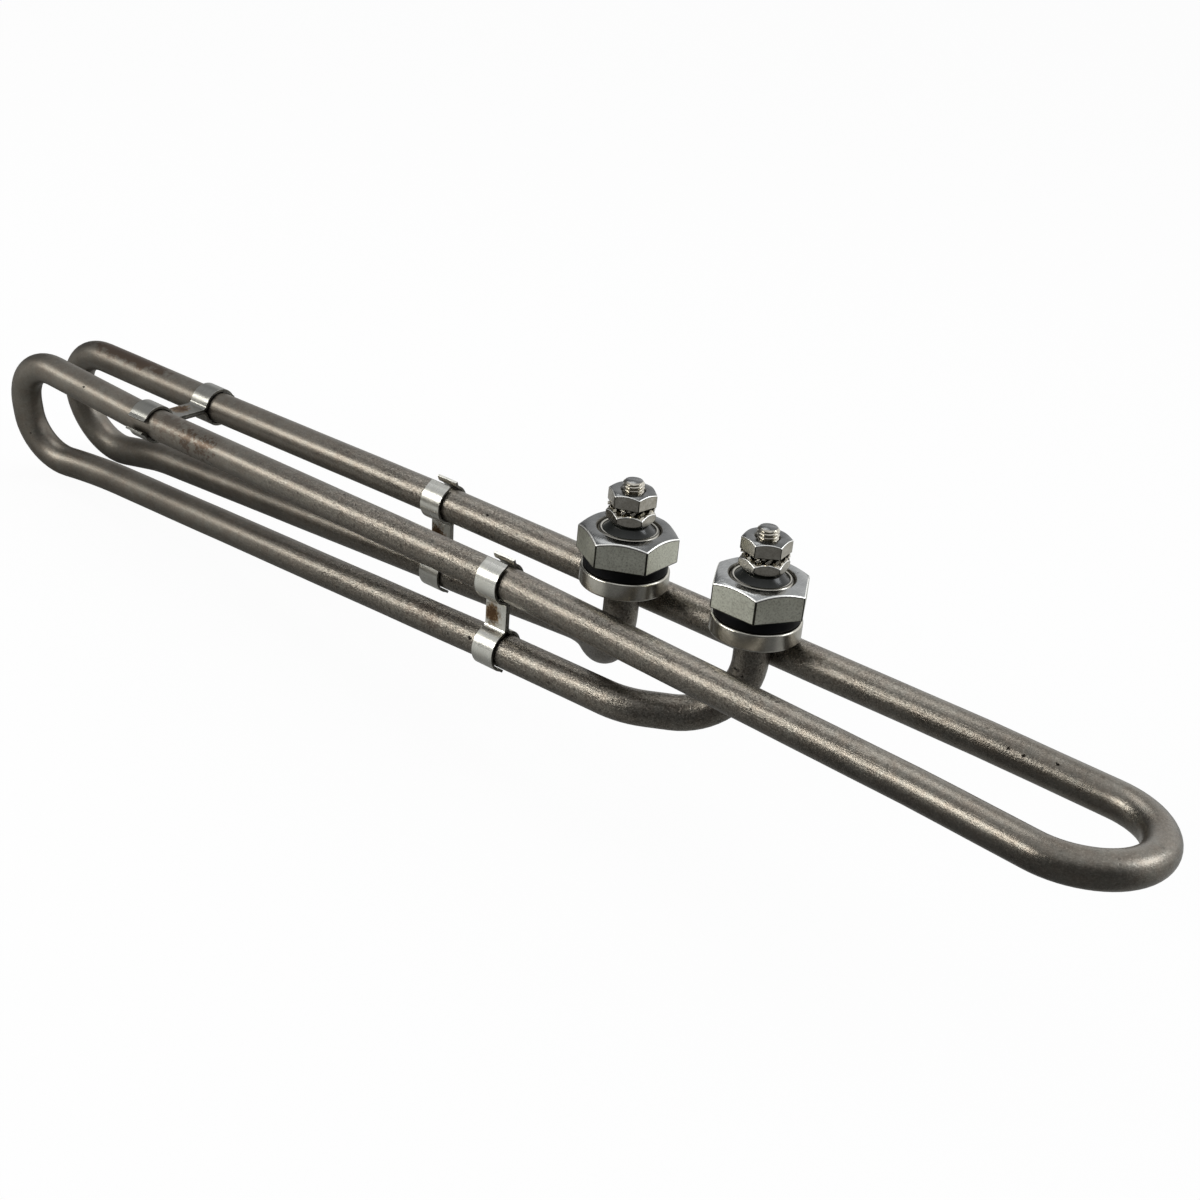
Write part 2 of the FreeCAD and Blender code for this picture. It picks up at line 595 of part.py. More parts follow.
def add_terminal(side):
    """Everything stacked on one terminal's axis, from the collar up to the upper nut."""
    add_bushing(side)
    add_seal(side)
    add_stud(side)
    add_gasket(side)
    add_nut(f"{side}_mounting_nut", side, "Sizes.big_nut_flats", "Sizes.big_nut_height", BIG_BORE,
            "Sizes.big_countersink", "Sizes.gasket_thickness", f"{side}_nut_yaw",
            "Sizes.nut_corner_land", False)
    add_nut(f"{side}_lower_terminal_nut", side, "Sizes.small_nut_flats", "Sizes.lower_nut_height",
            SMALL_BORE, "Sizes.small_countersink", SEAL_TOP, f"{side}_lower_yaw",
            "Sizes.lower_nut_land", True)
    add_washer(f"{side}_toothed_washer", side, f"{LOWER_NUT_TOP} + {TWISTED_HEIGHT} / 2")
    add_nut(f"{side}_upper_terminal_nut", side, "Sizes.small_nut_flats", "Sizes.upper_nut_height",
            SMALL_BORE, "Sizes.small_countersink", UPPER_NUT_SEAT, f"{side}_upper_yaw",
            "Sizes.nut_corner_land", False)


for side in TERMINALS:
    add_terminal(side)


# Clips

FULL_TURN = 360.0


def strip_half(wrap, flare, web_reach):
    """Middle line of half a strip, from the web's middle to the lip, as edges in the plane z = 0.

    The tube's axis is at the origin, the web lies along +X at half a sheet's thickness in Y, and
    web_reach is how far along X its middle lies.
    """
    half_sheet = size("strip_sheet") / 2
    wrap_radius = size("sheath_diameter") / 2 + size("clip_gap") + half_sheet
    bend = size("web_bend_radius")
    bend_height = half_sheet + bend
    bend_along = math.sqrt((wrap_radius + bend) ** 2 - bend_height ** 2)
    first = math.atan2(bend_height, bend_along)
    last = math.radians(wrap)
    lip_bend = size("lip_bend_radius")
    lip_turn = math.radians(flare)

    def on_circle(centre, radius, angle):
        return centre + Vector(math.cos(angle), math.sin(angle), 0) * radius

    centre = Vector(0, 0, 0)
    bend_centre = Vector(bend_along, bend_height, 0)
    lip_centre = on_circle(centre, wrap_radius + lip_bend, last)
    web_start = Vector(web_reach, half_sheet, 0)
    web_end = Vector(bend_along, half_sheet, 0)
    bend_end = on_circle(centre, wrap_radius, first)
    bend_middle = on_circle(bend_centre, bend, (-math.pi / 2 + first - math.pi) / 2)
    wrap_middle = on_circle(centre, wrap_radius, (first + last) / 2)
    wrap_end = on_circle(centre, wrap_radius, last)
    lip_from = last + math.pi
    lip_middle = on_circle(lip_centre, lip_bend, lip_from - lip_turn / 2)
    lip_end = on_circle(lip_centre, lip_bend, lip_from - lip_turn)
    lip_heading = last + math.pi / 2 - lip_turn
    lip_tip = lip_end + Vector(math.cos(lip_heading), math.sin(lip_heading), 0) * size("lip_length")
    return [Part.LineSegment(web_start, web_end).toShape(),
            Part.Arc(web_end, bend_middle, bend_end).toShape(),
            Part.Arc(bend_end, wrap_middle, wrap_end).toShape(),
            Part.Arc(wrap_end, lip_middle, lip_end).toShape(),
            Part.LineSegment(lip_end, lip_tip).toShape()]


def strip(along, first_axis, second_axis, wrap, flare):
    """One stamped strip in a plane across X, wrapped round the tubes with the given (y, z) axes.

    The strip lies on the left of the line from the first axis to the second, seen from +X, and has
    the round dimple of its spot weld in the middle of its web.
    """
    start = Vector(along, *first_axis)
    across = Vector(along, *second_axis) - start
    web_reach = across.Length / 2
    heading = across.normalize()
    side_way = Vector(1, 0, 0).cross(heading)
    flat = FreeCAD.Matrix(heading.x, side_way.x, 1, start.x,
                          heading.y, side_way.y, 0, start.y,
                          heading.z, side_way.z, 0, start.z,
                          0, 0, 0, 1)
    near = strip_half(wrap, flare, web_reach)
    sheet_face = Part.Face(Part.makePolygon([
        Vector(web_reach, 0, -size("strip_width") / 2),
        Vector(web_reach, size("strip_sheet"), -size("strip_width") / 2),
        Vector(web_reach, size("strip_sheet"), size("strip_width") / 2),
        Vector(web_reach, 0, size("strip_width") / 2),
        Vector(web_reach, 0, -size("strip_width") / 2)]))
    half = Part.Wire(near).makePipe(sheet_face)
    mirrored = half.mirror(Vector(web_reach, 0, 0), Vector(1, 0, 0))
    whole = half.fuse(mirrored).removeSplitter()
    depth = size("weld_depth")
    tip_radius = ((size("weld_diameter") / 2) ** 2 + depth ** 2) / (2 * depth)
    ball = Part.makeSphere(tip_radius, Vector(web_reach, size("strip_sheet") + tip_radius - depth, 0))
    spot = Part.makeCylinder(size("weld_diameter") / 2, depth,
                             Vector(web_reach, size("strip_sheet") - depth, 0), Vector(0, 1, 0))
    return whole.cut(ball.common(spot)).transformShape(flat, True, False)


def add_clip(name, along, first_axis, second_axis, plain_name, lipped_name, wrap, opening):
    """Two strips back to back: the plain one on the left of the axes' line, the lipped one on its right.

    The plain strip wraps a tube by the given angle, and the lipped one by what the opening leaves.
    """
    plain = strip(along, first_axis, second_axis, wrap, size("plain_lip_flare"))
    lipped = strip(along, second_axis, first_axis, FULL_TURN - wrap - opening, size("lipped_lip_flare"))
    add_shape(f"{name}_{plain_name}_strip", plain)
    add_shape(f"{name}_{lipped_name}_strip", lipped)


add_clip("front_clip", front_clip_x, (front_low_y, front_low_z), (upper_front_y, upper_z), "outer", "inner",
         size("upright_wrap"), size("upright_opening"))
add_clip("rear_clip", rear_clip_x, (rear_low_y, rear_low_z), (upper_rear_y, upper_z), "inner", "outer",
         size("upright_wrap"), size("upright_opening"))
add_clip("end_clip", end_clip_x, (end_front_y, upper_z), (end_rear_y, upper_z), "upper", "lower",
         size("end_wrap"), size("end_opening"))

doc.recompute()


# Checks and files

NODES = ["sheath_tube", "magnesia_fill", "resistance_coil"]
for side in TERMINALS:
    for piece in ("cold_pin", "terminal_stud", "end_seal", "threaded_bushing", "gasket", "mounting_nut",
                  "lower_terminal_nut", "toothed_washer", "upper_terminal_nut"):
        NODES.append(f"{side}_{piece}")
NODES += ["front_clip_outer_strip", "front_clip_inner_strip", "rear_clip_inner_strip",
          "rear_clip_outer_strip", "end_clip_upper_strip", "end_clip_lower_strip"]


def sound_solid(label):
    """The object with this label, once its shape is known to be whole and valid."""
    item = doc.getObjectsByLabel(label)[0]
    shape = item.Shape
    if shape.isNull() or not shape.isValid() or not shape.Solids:
        raise ValueError(f"{label}: bad shape")
    return item


for item in doc.Objects:
    if "Invalid" in item.State or "Error" in item.State:
        raise ValueError(f"{item.Label}: {item.State}")

os.makedirs("parts", exist_ok=True)
for label in NODES:
    item = sound_solid(label)
    item.Shape.exportStep(f"parts/{label}.step")
    print(f"{label}: {len(item.Shape.Solids)} solid, {item.Shape.Volume:.1f} mm3")
print(f"tube axis {whole_route.Length:.1f} mm")
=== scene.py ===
"""Looks of a bent tubular heating element with two threaded terminals and three spacer clips.

Everything is in metres in the row's own frame: X along the tubes towards the wide bend, Y to the rear,
Z up along the terminal studs, the origin midway between the terminals on their collars' upper faces.
"""

import math

import bmesh
import bpy
import numpy as np
from mathutils import Matrix, Vector


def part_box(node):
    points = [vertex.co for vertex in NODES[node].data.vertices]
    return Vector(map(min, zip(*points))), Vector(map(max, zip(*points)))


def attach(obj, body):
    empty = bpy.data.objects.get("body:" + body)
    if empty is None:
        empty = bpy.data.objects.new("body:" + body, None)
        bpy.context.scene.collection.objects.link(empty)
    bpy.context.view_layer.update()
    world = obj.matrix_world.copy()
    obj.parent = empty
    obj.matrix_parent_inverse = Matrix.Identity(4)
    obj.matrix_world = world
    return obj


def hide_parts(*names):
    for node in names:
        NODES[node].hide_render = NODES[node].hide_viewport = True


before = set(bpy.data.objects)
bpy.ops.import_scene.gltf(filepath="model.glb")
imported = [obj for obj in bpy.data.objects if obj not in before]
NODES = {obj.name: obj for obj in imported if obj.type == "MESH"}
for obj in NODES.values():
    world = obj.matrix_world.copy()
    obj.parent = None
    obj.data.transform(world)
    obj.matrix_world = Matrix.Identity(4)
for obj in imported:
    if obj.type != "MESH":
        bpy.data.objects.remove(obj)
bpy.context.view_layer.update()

MM = 0.001
SIDES = ("left", "right")


# Route of the sheath tube, in millimetres, as the tube is bent

TUBE_RADIUS = 4.0
TUBE_WALL = 0.9
CUP_FLOOR_Z = 3.1       # where the tube ends in a bushing's cup
UPPER_Z = -9.7          # height of the two upper runs
ELBOW_Z = -26.0         # height of the runs' corners under the terminals
LAND = 5.0              # straight length on either side of a clip's middle
CLIP_BEND = 60.0        # radius of the slight bends next to a clip
NEARLY_ALL = 0.999      # share of a run that its bends may take up
TINY = 1e-6

TERMINALS = {"left": (-16.7, -1.6), "right": (16.7, 1.6)}


def through_clip(along, across, height, towards):
    """Two corners that keep a run parallel to X through a clip; towards is the way of travel."""
    return [((along - LAND * towards, across, height), CLIP_BEND),
            ((along + LAND * towards, across, height), CLIP_BEND)]


def hairpin(before, first, second, after):
    """Two corners of a hairpin with the radius that makes them one round bend.

    The radius is the run between the corners divided by the sum of the tangents of half of each turn.
    """
    points = [np.array(point) for point in (before, first, second, after)]
    runs = [(there - here) / np.linalg.norm(there - here) for here, there in zip(points, points[1:])]
    turns = [math.acos(np.dot(one, two)) for one, two in zip(runs, runs[1:])]
    radius = NEARLY_ALL * np.linalg.norm(points[2] - points[1]) / sum(math.tan(turn / 2) for turn in turns)
    return [(first, radius), (second, radius)]


def route_corners():
    """Corners of the tube's axis with the radius of each bend, from the left terminal to the right one."""
    rear_dip, rear_low, rear_top = (-187.9, 11.2, -34.2), (-219.9, 11.7, -40.7), (-219.9, 6.3, -9.35)
    rear = [((*TERMINALS["left"], CUP_FLOOR_Z), 0.0), ((*TERMINALS["left"], ELBOW_Z), 15.5)]
    rear += [((-34.3, 10.5, ELBOW_Z), 16.0)] + through_clip(-80.8, 9.9, -28.1, -1) + [(rear_dip, 70.0)]
    rear_end = through_clip(-162.4, 7.05, UPPER_Z, 1)
    rear += hairpin(rear_dip, rear_low, rear_top, rear_end[0][0]) + rear_end
    rear += through_clip(-80.8, 8.85, UPPER_Z, 1) + [((69.8, 8.65, UPPER_Z), 20.6)]
    front_dip, front_low, front_top = (-192.9, -6.35, -35.3), (-216.0, -9.3, -36.7), (-216.0, -14.4, -6.55)
    front = [((*TERMINALS["right"], CUP_FLOOR_Z), 0.0), ((*TERMINALS["right"], ELBOW_Z), 15.5)]
    front += [((-4.9, -12.6, ELBOW_Z), 16.0)] + through_clip(-42.6, -12.4, -26.7, -1) + [(front_dip, 155.0)]
    front_end = through_clip(-162.4, -13.25, UPPER_Z, 1)
    front += hairpin(front_dip, front_low, front_top, front_end[0][0]) + front_end
    front += through_clip(-42.6, -13.05, UPPER_Z, 1) + [((69.8, -18.85, UPPER_Z), 20.6)]
    bend = hairpin(rear[-1][0], (114.9, 9.6, -11.2), (114.9, -23.6, -9.2), front[-1][0])
    return rear + bend + front[::-1]


def fitted_tangents(points, radii, turns):
    """Tangent length of each bend: radius times the tangent of half the turn, less where two do not fit."""
    wanted = radii * np.tan(turns / 2)
    runs = NEARLY_ALL * np.linalg.norm(np.diff(points, axis=0), axis=1)
    share = np.minimum(1, runs / np.maximum(wanted[:-1] + wanted[1:], TINY))
    return wanted * np.minimum(np.r_[share, 1], np.r_[1, share])


def turned(vectors, axis, angles):
    """Vectors turned about a unit axis by each angle, by Rodrigues' formula."""
    cosine = np.cos(angles)[:, None]
    sine = np.sin(angles)[:, None]
    return vectors * cosine + np.cross(axis, vectors) * sine + axis * np.dot(vectors, axis) * (1 - cosine)


def tube_frames(step):
    """Centres, two cross directions and distances along the tube, for rings about step apart.

    Along a straight run the cross directions stay; along an arc they turn with the tangent about the
    arc's own axis, so the section never twists.
    """
    corners = route_corners()
    points = np.array([point for point, _ in corners])
    radii = np.array([radius for _, radius in corners])
    runs = np.diff(points, axis=0)
    heads = runs / np.linalg.norm(runs, axis=1)[:, None]
    turns = np.zeros(len(points))
    turns[1:-1] = np.arccos(np.clip(np.sum(heads[:-1] * heads[1:], axis=1), -1, 1))
    tangents = fitted_tangents(points, radii, turns)
    across = np.array([1.0, 0.0, 0.0])
    centres, firsts, seconds = [], [], []
    for index, head in enumerate(heads):
        start = points[index] + head * tangents[index]
        end = points[index + 1] - head * tangents[index + 1]
        count = max(2, round(np.linalg.norm(end - start) / step))
        share = np.arange(count)[:, None] / count
        centres.append(start + (end - start) * share)
        firsts.append(np.tile(across, (count, 1)))
        seconds.append(np.tile(np.cross(head, across), (count, 1)))
        turn = turns[index + 1]
        if turn < TINY or index + 1 == len(heads):
            continue
        radius = tangents[index + 1] / math.tan(turn / 2)
        axis = np.cross(head, heads[index + 1]) / math.sin(turn)
        count = max(2, round(radius * turn / step))
        angles = np.arange(count) / count * turn
        hub = end + np.cross(axis, head) * radius
        centres.append(hub + turned(end - hub, axis, angles))
        firsts.append(turned(across, axis, angles))
        seconds.append(turned(np.cross(head, across), axis, angles))
        across = turned(across, axis, np.array([turn]))[0]
    centres.append(points[-1:])
    firsts.append(across[None])
    seconds.append(np.cross(heads[-1], across)[None])
    centres = np.concatenate(centres)
    along = np.r_[0, np.cumsum(np.linalg.norm(np.diff(centres, axis=0), axis=1))]
    return centres, np.concatenate(firsts), np.concatenate(seconds), along


# Meshes

SHARP_ANGLE = math.radians(50)


def mesh_object(name, points, faces):
    """An object from an array of points in millimetres and an array or list of faces."""
    mesh = bpy.data.meshes.new(name)
    mesh.from_pydata((np.asarray(points) * MM).tolist(), [], [list(map(int, face)) for face in faces])
    mesh.shade_smooth()
    item = bpy.data.objects.new(name, mesh)
    bpy.context.scene.collection.objects.link(item)
    return item


def mesh_points(node):
    """Points of a CAD node's mesh, in metres."""
    mesh = NODES[node].data
    points = np.empty(len(mesh.vertices) * 3)
    mesh.vertices.foreach_get("co", points)
    return points.reshape(-1, 3)


def box_in_mm(node):
    """Lowest and highest corners of a CAD node, in millimetres."""
    return [np.array(corner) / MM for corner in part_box(node)]


def ring_points(centre, radii, heights, angles):
    """Points of rings round an upright axis: the centre plus each radius along each angle."""
    return np.stack(np.broadcast_arrays(centre[0] + radii * np.cos(angles),
                                        centre[1] + radii * np.sin(angles), heights), -1)


def grid_faces(rows, columns, close_rows=False):
    """Quads of a grid of points that is closed across its columns, and across its rows if asked."""
    row = np.arange(rows if close_rows else rows - 1)[:, None]
    column = np.arange(columns)[None, :]
    next_row = (row + 1) % rows
    next_column = (column + 1) % columns
    quads = [row * columns + column, row * columns + next_column,
             next_row * columns + next_column, next_row * columns + column]
    return np.stack([np.broadcast_to(quad, (len(row), columns)) for quad in quads], -1).reshape(-1, 4)


def waves(values, rng, count, longest, shortest):
    """Sum of sine waves over several coordinates, each with a random direction, length and phase.

    It is about 1 at most. Wave lengths lie evenly, by their logarithm, between the two given ones.
    """
    lengths = np.exp(rng.uniform(math.log(shortest), math.log(longest), count))
    ways = rng.normal(size=(count, values.shape[-1]))
    ways /= np.linalg.norm(ways, axis=1)[:, None]
    phases = rng.uniform(0, 2 * math.pi, count)
    swings = ways * (2 * math.pi / lengths)[:, None]
    return np.sin(values @ swings.T + phases).sum(-1) / math.sqrt(count) / 2


def add_attribute(item, name, vectors):
    """Stores a vector for each point of a mesh, for its material to read."""
    layer = item.data.attributes.new(name, "FLOAT_VECTOR", "POINT")
    layer.data.foreach_set("vector", (vectors * MM).astype(np.float32).ravel())


def sheath_tube():
    """The bent tube: a circle of the tube's radius carried along its axis, and the bore's circle back.

    The outer radius varies by a few hundredths of a millimetre in slow waves, as a drawn, rolled and
    annealed tube does. The attribute "run" unrolls the bends: distance along the tube, and the place
    in its section.
    """
    rng = np.random.default_rng(11)
    centres, firsts, seconds, along = tube_frames(step=1.5)
    columns, swing, inset = 40, 0.035, 0.02
    angles = np.arange(columns) / columns * 2 * math.pi
    ways = firsts[:, None] * np.cos(angles)[None, :, None] + seconds[:, None] * np.sin(angles)[None, :, None]
    unrolled = np.stack(np.broadcast_arrays(along[:, None], TUBE_RADIUS * np.cos(angles)[None, :],
                                            TUBE_RADIUS * np.sin(angles)[None, :]), -1)
    slow = waves(unrolled, rng, count=14, longest=45.0, shortest=9.0)
    outer = centres[:, None] + ways * (TUBE_RADIUS - inset + swing * slow)[..., None]
    inner = centres[:, None] + ways * (TUBE_RADIUS - TUBE_WALL)
    rows = len(centres)
    points = np.concatenate([outer, inner[::-1]]).reshape(-1, 3)
    item = mesh_object("sheath", points, grid_faces(2 * rows, columns, close_rows=True))
    add_attribute(item, "run", np.concatenate([unrolled, unrolled[::-1]]).reshape(-1, 3))
    return item


def threaded_stud(side):
    """Terminal stud: a helical thread whose radius follows a rounded triangle wave of height and angle.

    The wave's depth grows in over the first turn above the seal, and the tip's chamfer cuts it off.
    """
    low, high = box_in_mm(f"{side}_terminal_stud")
    x, y = (low + high)[:2] / 2
    foot, tip = low[2], high[2]
    crest = (high[0] - low[0]) / 2
    pitch, depth, chamfer, plain = 0.794, 0.48, 0.5, 5.6
    ridge_top, ridge_slope = 1.18, 2.4
    columns, rows_a_turn, last_gap = 40, 14, 0.02
    heights = np.arange(foot, tip - last_gap, pitch / rows_a_turn)[:, None]
    angles = np.arange(columns) / columns * 2 * math.pi
    phase = (heights / pitch - angles / (2 * math.pi)) % 1.0
    ridge = np.clip(ridge_top - ridge_slope * np.abs(phase - 0.5), 0, 1)
    grown = np.clip((heights - foot - plain) / pitch, 0, 1)
    radii = np.minimum(crest - depth * (1 - ridge) * grown, crest - chamfer + tip - heights)
    rings = ring_points((x, y), radii, heights, angles).reshape(-1, 3)
    rim = ring_points((x, y), crest - chamfer, tip, angles)
    points = np.concatenate([rings, rim, [(x, y, foot), (x, y, tip)]])
    rows = len(heights) + 1
    column = np.arange(columns)
    beside = (column + 1) % columns
    foot_point, top_ring = rows * columns, (rows - 1) * columns
    foot_faces = np.stack([beside, column, np.full(columns, foot_point)], -1)
    tip_faces = np.stack([top_ring + column, top_ring + beside, np.full(columns, foot_point + 1)], -1)
    item = mesh_object(f"{side}_stud", points, [*grid_faces(rows, columns), *foot_faces, *tip_faces])
    item.data.set_sharp_from_angle(angle=SHARP_ANGLE)
    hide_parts(f"{side}_terminal_stud")
    return item


def moulded_seal(side):
    """The end seal, a profile turned round the stud: it fills the cup and rises as a smooth meniscus.

    From the cup's rim to the shoulder, the height grows with a power of the share of the way inwards.
    """
    low, high = box_in_mm(f"{side}_end_seal")
    cup = (high[0] - low[0]) / 2
    foot, top = low[2], high[2]
    rise, drop, power = 1.75, 0.25, 1.35
    shoulder, bore = 4.3, 2.6
    share = np.linspace(0, 1, 14)
    slope = np.stack([cup + (shoulder - cup) * share, top - rise + (rise - drop) * share ** power], -1)
    crown = [(3.95, top - 0.08), (3.6, top), (bore, top), (bore, foot)]
    profile = np.concatenate([[(cup, foot)], slope, crown])
    columns = 64
    angles = np.arange(columns) / columns * 2 * math.pi
    rings = ring_points((low + high) / 2, profile[:, :1], profile[:, 1:], angles)
    faces = grid_faces(len(profile), columns, close_rows=True)
    item = mesh_object(f"{side}_seal", rings.reshape(-1, 3), faces)
    item.data.set_sharp_from_angle(angle=SHARP_ANGLE)
    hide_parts(f"{side}_end_seal")
    return item


def nut_end(spread, land, bore, sink, slope, width):
    """Rings of one end of a nut, from its side to its bore: radius, and depth under the end's face.

    The chamfer is a cone from the land outwards. The edge between the side and the chamfer is a small
    rounding, drawn as a quadratic curve, that leaves part of the chamfer free.
    """
    chamfer_share, least_chamfer = 0.8, 0.05
    drop = np.maximum(spread - land, 0) * math.tan(slope)
    chamfer = np.maximum(spread - land, least_chamfer) / math.cos(slope)
    cut = np.minimum(width, chamfer_share * chamfer)
    upper = np.stack([spread - cut * math.cos(slope), drop - cut * math.sin(slope)])
    edge = np.stack([spread, drop])
    lower = np.stack([spread, drop + width])
    rings = [(1 - t) ** 2 * lower + 2 * t * (1 - t) * edge + t ** 2 * upper for t in (0, 1 / 3, 2 / 3, 1)]
    flat = np.ones_like(spread)
    for radius, depth in ((land, 0.0), (bore + sink, 0.0), (bore, sink)):
        rings.append(np.stack([radius * flat, depth * flat]))
    return rings


# Material slots of a nut, and those of the bands between its rings, from the bore's foot outwards and up
SIDE, EDGE, FACE, BORE = range(4)
NUT_BANDS = (BORE, FACE, FACE, EDGE, EDGE, EDGE, SIDE, EDGE, EDGE, EDGE, FACE, FACE, BORE, BORE)


def hexagon_nut(node, land_share, sink, slope, low_slope, width):
    """A hexagon nut with rounded edges. Its material slots are its sides, edges, end faces and bore.

    Its sides follow a hexagon with slightly rounded corners: the distance to the flats, divided by the
    n-th root of the sum of the n-th powers of the cosines of the angles to all six flats. The chamfers
    start at the land, a share of that distance, and fall at the given slopes at the top and the foot.
    Sink is the size of the bore's countersink, and width that of the edges' rounding. The points of a
    ring stand close together at the corners, in degrees off each, so the corners' edges are finished too.
    """
    points = mesh_points(node) / MM
    low, high = points.min(0), points.max(0)
    centre = (low + high)[:2] / 2
    spokes = points[:, :2] - centre
    reach = np.hypot(*spokes.T)
    corner = math.atan2(*spokes[reach.argmax()][::-1])
    flat, bore = reach.max() * math.cos(math.pi / 6), reach.min()
    off_corner = np.array([0, 0.4, 0.8, 1.3, 1.9, 4, 8, 13, 19, 25])
    turns = np.radians(np.r_[off_corner, 30, 60 - off_corner[:0:-1]])
    angles = corner + (np.arange(6)[:, None] * math.pi / 3 + turns).ravel()
    flats = corner + math.pi / 6 + np.arange(6) * math.pi / 3
    sharpness, corner_reach = 170, math.radians(1.2)
    nearness = np.clip(np.cos(angles[:, None] - flats), 0, 1) ** sharpness
    spread = flat / nearness.sum(1) ** (1 / sharpness)
    low_end = nut_end(spread, land_share * flat, bore, sink, low_slope, width)[::-1]
    top_end = nut_end(spread, land_share * flat, bore, sink, slope, width)
    radii = np.array([ring[0] for ring in low_end + top_end])
    heights = np.array([low[2] + ring[1] for ring in low_end] + [high[2] - ring[1] for ring in top_end])
    rings = ring_points(centre, radii, heights, angles)
    item = mesh_object(node + "_finished", rings.reshape(-1, 3),
                       grid_faces(len(rings), len(angles), close_rows=True))
    slots = np.repeat(np.array(NUT_BANDS)[:, None], len(angles), 1)
    middles = angles - corner + math.radians(off_corner[1] / 2)
    from_corner = np.abs((middles + math.pi / 6) % (math.pi / 3) - math.pi / 6)
    # the faces at the corners take the edge slot, whose material paints dark shade on them
    slots[NUT_BANDS.index(SIDE), from_corner < corner_reach] = EDGE
    item.data.polygons.foreach_set("material_index", slots.ravel().astype(np.int32))
    item.modifiers.new("flat_faces", "WEIGHTED_NORMAL").weight = 100
    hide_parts(node)
    return item


def softened(node, width):
    """A copy of a CAD piece with its flat faces made whole and its edges broken by a small bevel."""
    same_point, same_face, sharp_edge = 0.002 * MM, math.radians(0.4), math.radians(28)
    mesh = NODES[node].data.copy()
    work = bmesh.new()
    work.from_mesh(mesh)
    bmesh.ops.remove_doubles(work, verts=work.verts, dist=same_point)
    bmesh.ops.dissolve_limit(work, angle_limit=same_face, verts=work.verts, edges=work.edges)
    work.to_mesh(mesh)
    work.free()
    stored = mesh.attributes.get("custom_normal")
    if stored:
        mesh.attributes.remove(stored)
    mesh.shade_smooth()
    item = bpy.data.objects.new(node + "_finished", mesh)
    bpy.context.scene.collection.objects.link(item)
    bevel = item.modifiers.new("broken_edges", "BEVEL")
    bevel.width = width * MM
    bevel.segments = 2
    bevel.limit_method = "ANGLE"
    bevel.angle_limit = sharp_edge
    bevel.harden_normals = True
    bevel.miter_outer = "MITER_ARC"
    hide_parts(node)
    return item


# Shader building blocks

def set_inputs(tree, item, inputs):
    """Gives a shader node's inputs their values or links."""
    for name, value in inputs.items():
        if isinstance(value, bpy.types.NodeSocket):
            tree.links.new(value, item.inputs[name])
        else:
            item.inputs[name].default_value = value


def node(tree, kind, inputs=None, **settings):
    """Adds a shader node, sets its properties, and gives its inputs values or links."""
    item = tree.nodes.new(kind)
    for name, value in settings.items():
        setattr(item, name, value)
    set_inputs(tree, item, inputs or {})
    return item


def math_node(tree, operation, first, second=0.0):
    """Output of one step of arithmetic."""
    return node(tree, "ShaderNodeMath", {0: first, 1: second}, operation=operation).outputs[0]


def vector_node(tree, operation, first, second=(0.0, 0.0, 0.0)):
    """Vector from one step of vector arithmetic."""
    return node(tree, "ShaderNodeVectorMath", {0: first, 1: second}, operation=operation).outputs[0]


def length_of(tree, vector):
    """Length of a vector."""
    return node(tree, "ShaderNodeVectorMath", {0: vector}, operation="LENGTH").outputs["Value"]


def share_along(tree, vector, way):
    """How far a vector reaches along a unit vector: their dot product."""
    return node(tree, "ShaderNodeVectorMath", {0: vector, 1: way}, operation="DOT_PRODUCT").outputs["Value"]


def part_of(tree, vector, axis):
    """One of the three parts of a vector."""
    return node(tree, "ShaderNodeSeparateXYZ", {0: vector}).outputs[axis]


def ranged(tree, value, low, high, to_low=0.0, to_high=1.0):
    """Value moved from one range to another and kept inside it."""
    return node(tree, "ShaderNodeMapRange", {"Value": value, "From Min": low, "From Max": high,
                                             "To Min": to_low, "To Max": to_high}).outputs["Result"]


def mixed(tree, factor, first, second):
    """Colour between two colours or colour sockets."""
    factor_socket, first_socket, second_socket, result = 0, 6, 7, 2
    mix = node(tree, "ShaderNodeMix", data_type="RGBA")
    set_inputs(tree, mix, {factor_socket: factor, first_socket: first, second_socket: second})
    return mix.outputs[result]


def noise(tree, vector, scale, detail, roughness=0.5):
    """Cloudy noise with about this many blotches to the metre."""
    return node(tree, "ShaderNodeTexNoise", {"Vector": vector, "Scale": scale, "Detail": detail,
                                             "Roughness": roughness}).outputs["Fac"]


def new_group(name, vectors, numbers, outputs):
    """An empty node group, from the names of its vector inputs, number inputs and number outputs."""
    tree = bpy.data.node_groups.new(name, "ShaderNodeTree")
    for kind, labels in (("NodeSocketVector", vectors), ("NodeSocketFloat", numbers)):
        for label in labels:
            tree.interface.new_socket(label, in_out="INPUT", socket_type=kind)
    for label in outputs:
        tree.interface.new_socket(label, in_out="OUTPUT", socket_type="NodeSocketFloat")
    given = tree.nodes.new("NodeGroupInput").outputs
    result = tree.nodes.new("NodeGroupOutput").inputs
    return tree, given, result


def placed(tree, group, **inputs):
    """Outputs of a group's node in a material, with its inputs set."""
    item = tree.nodes.new("ShaderNodeGroup")
    item.node_tree = group
    set_inputs(tree, item, inputs)
    return item.outputs


def frosting_group():
    """Fine grains on broad clouds: the look of an annealed, pickled or tumbled metal skin."""
    tree, given, result = new_group("frosting", ("Vector",), ("Grain", "Cloud"), ("Grains", "Clouds"))
    grains = noise(tree, given["Vector"], given["Grain"], 4.0, 0.7)
    clouds = noise(tree, given["Vector"], given["Cloud"], 5.0, 0.62)
    tree.links.new(ranged(tree, grains, 0.28, 0.72), result["Grains"])
    tree.links.new(ranged(tree, clouds, 0.3, 0.7), result["Clouds"])
    return tree


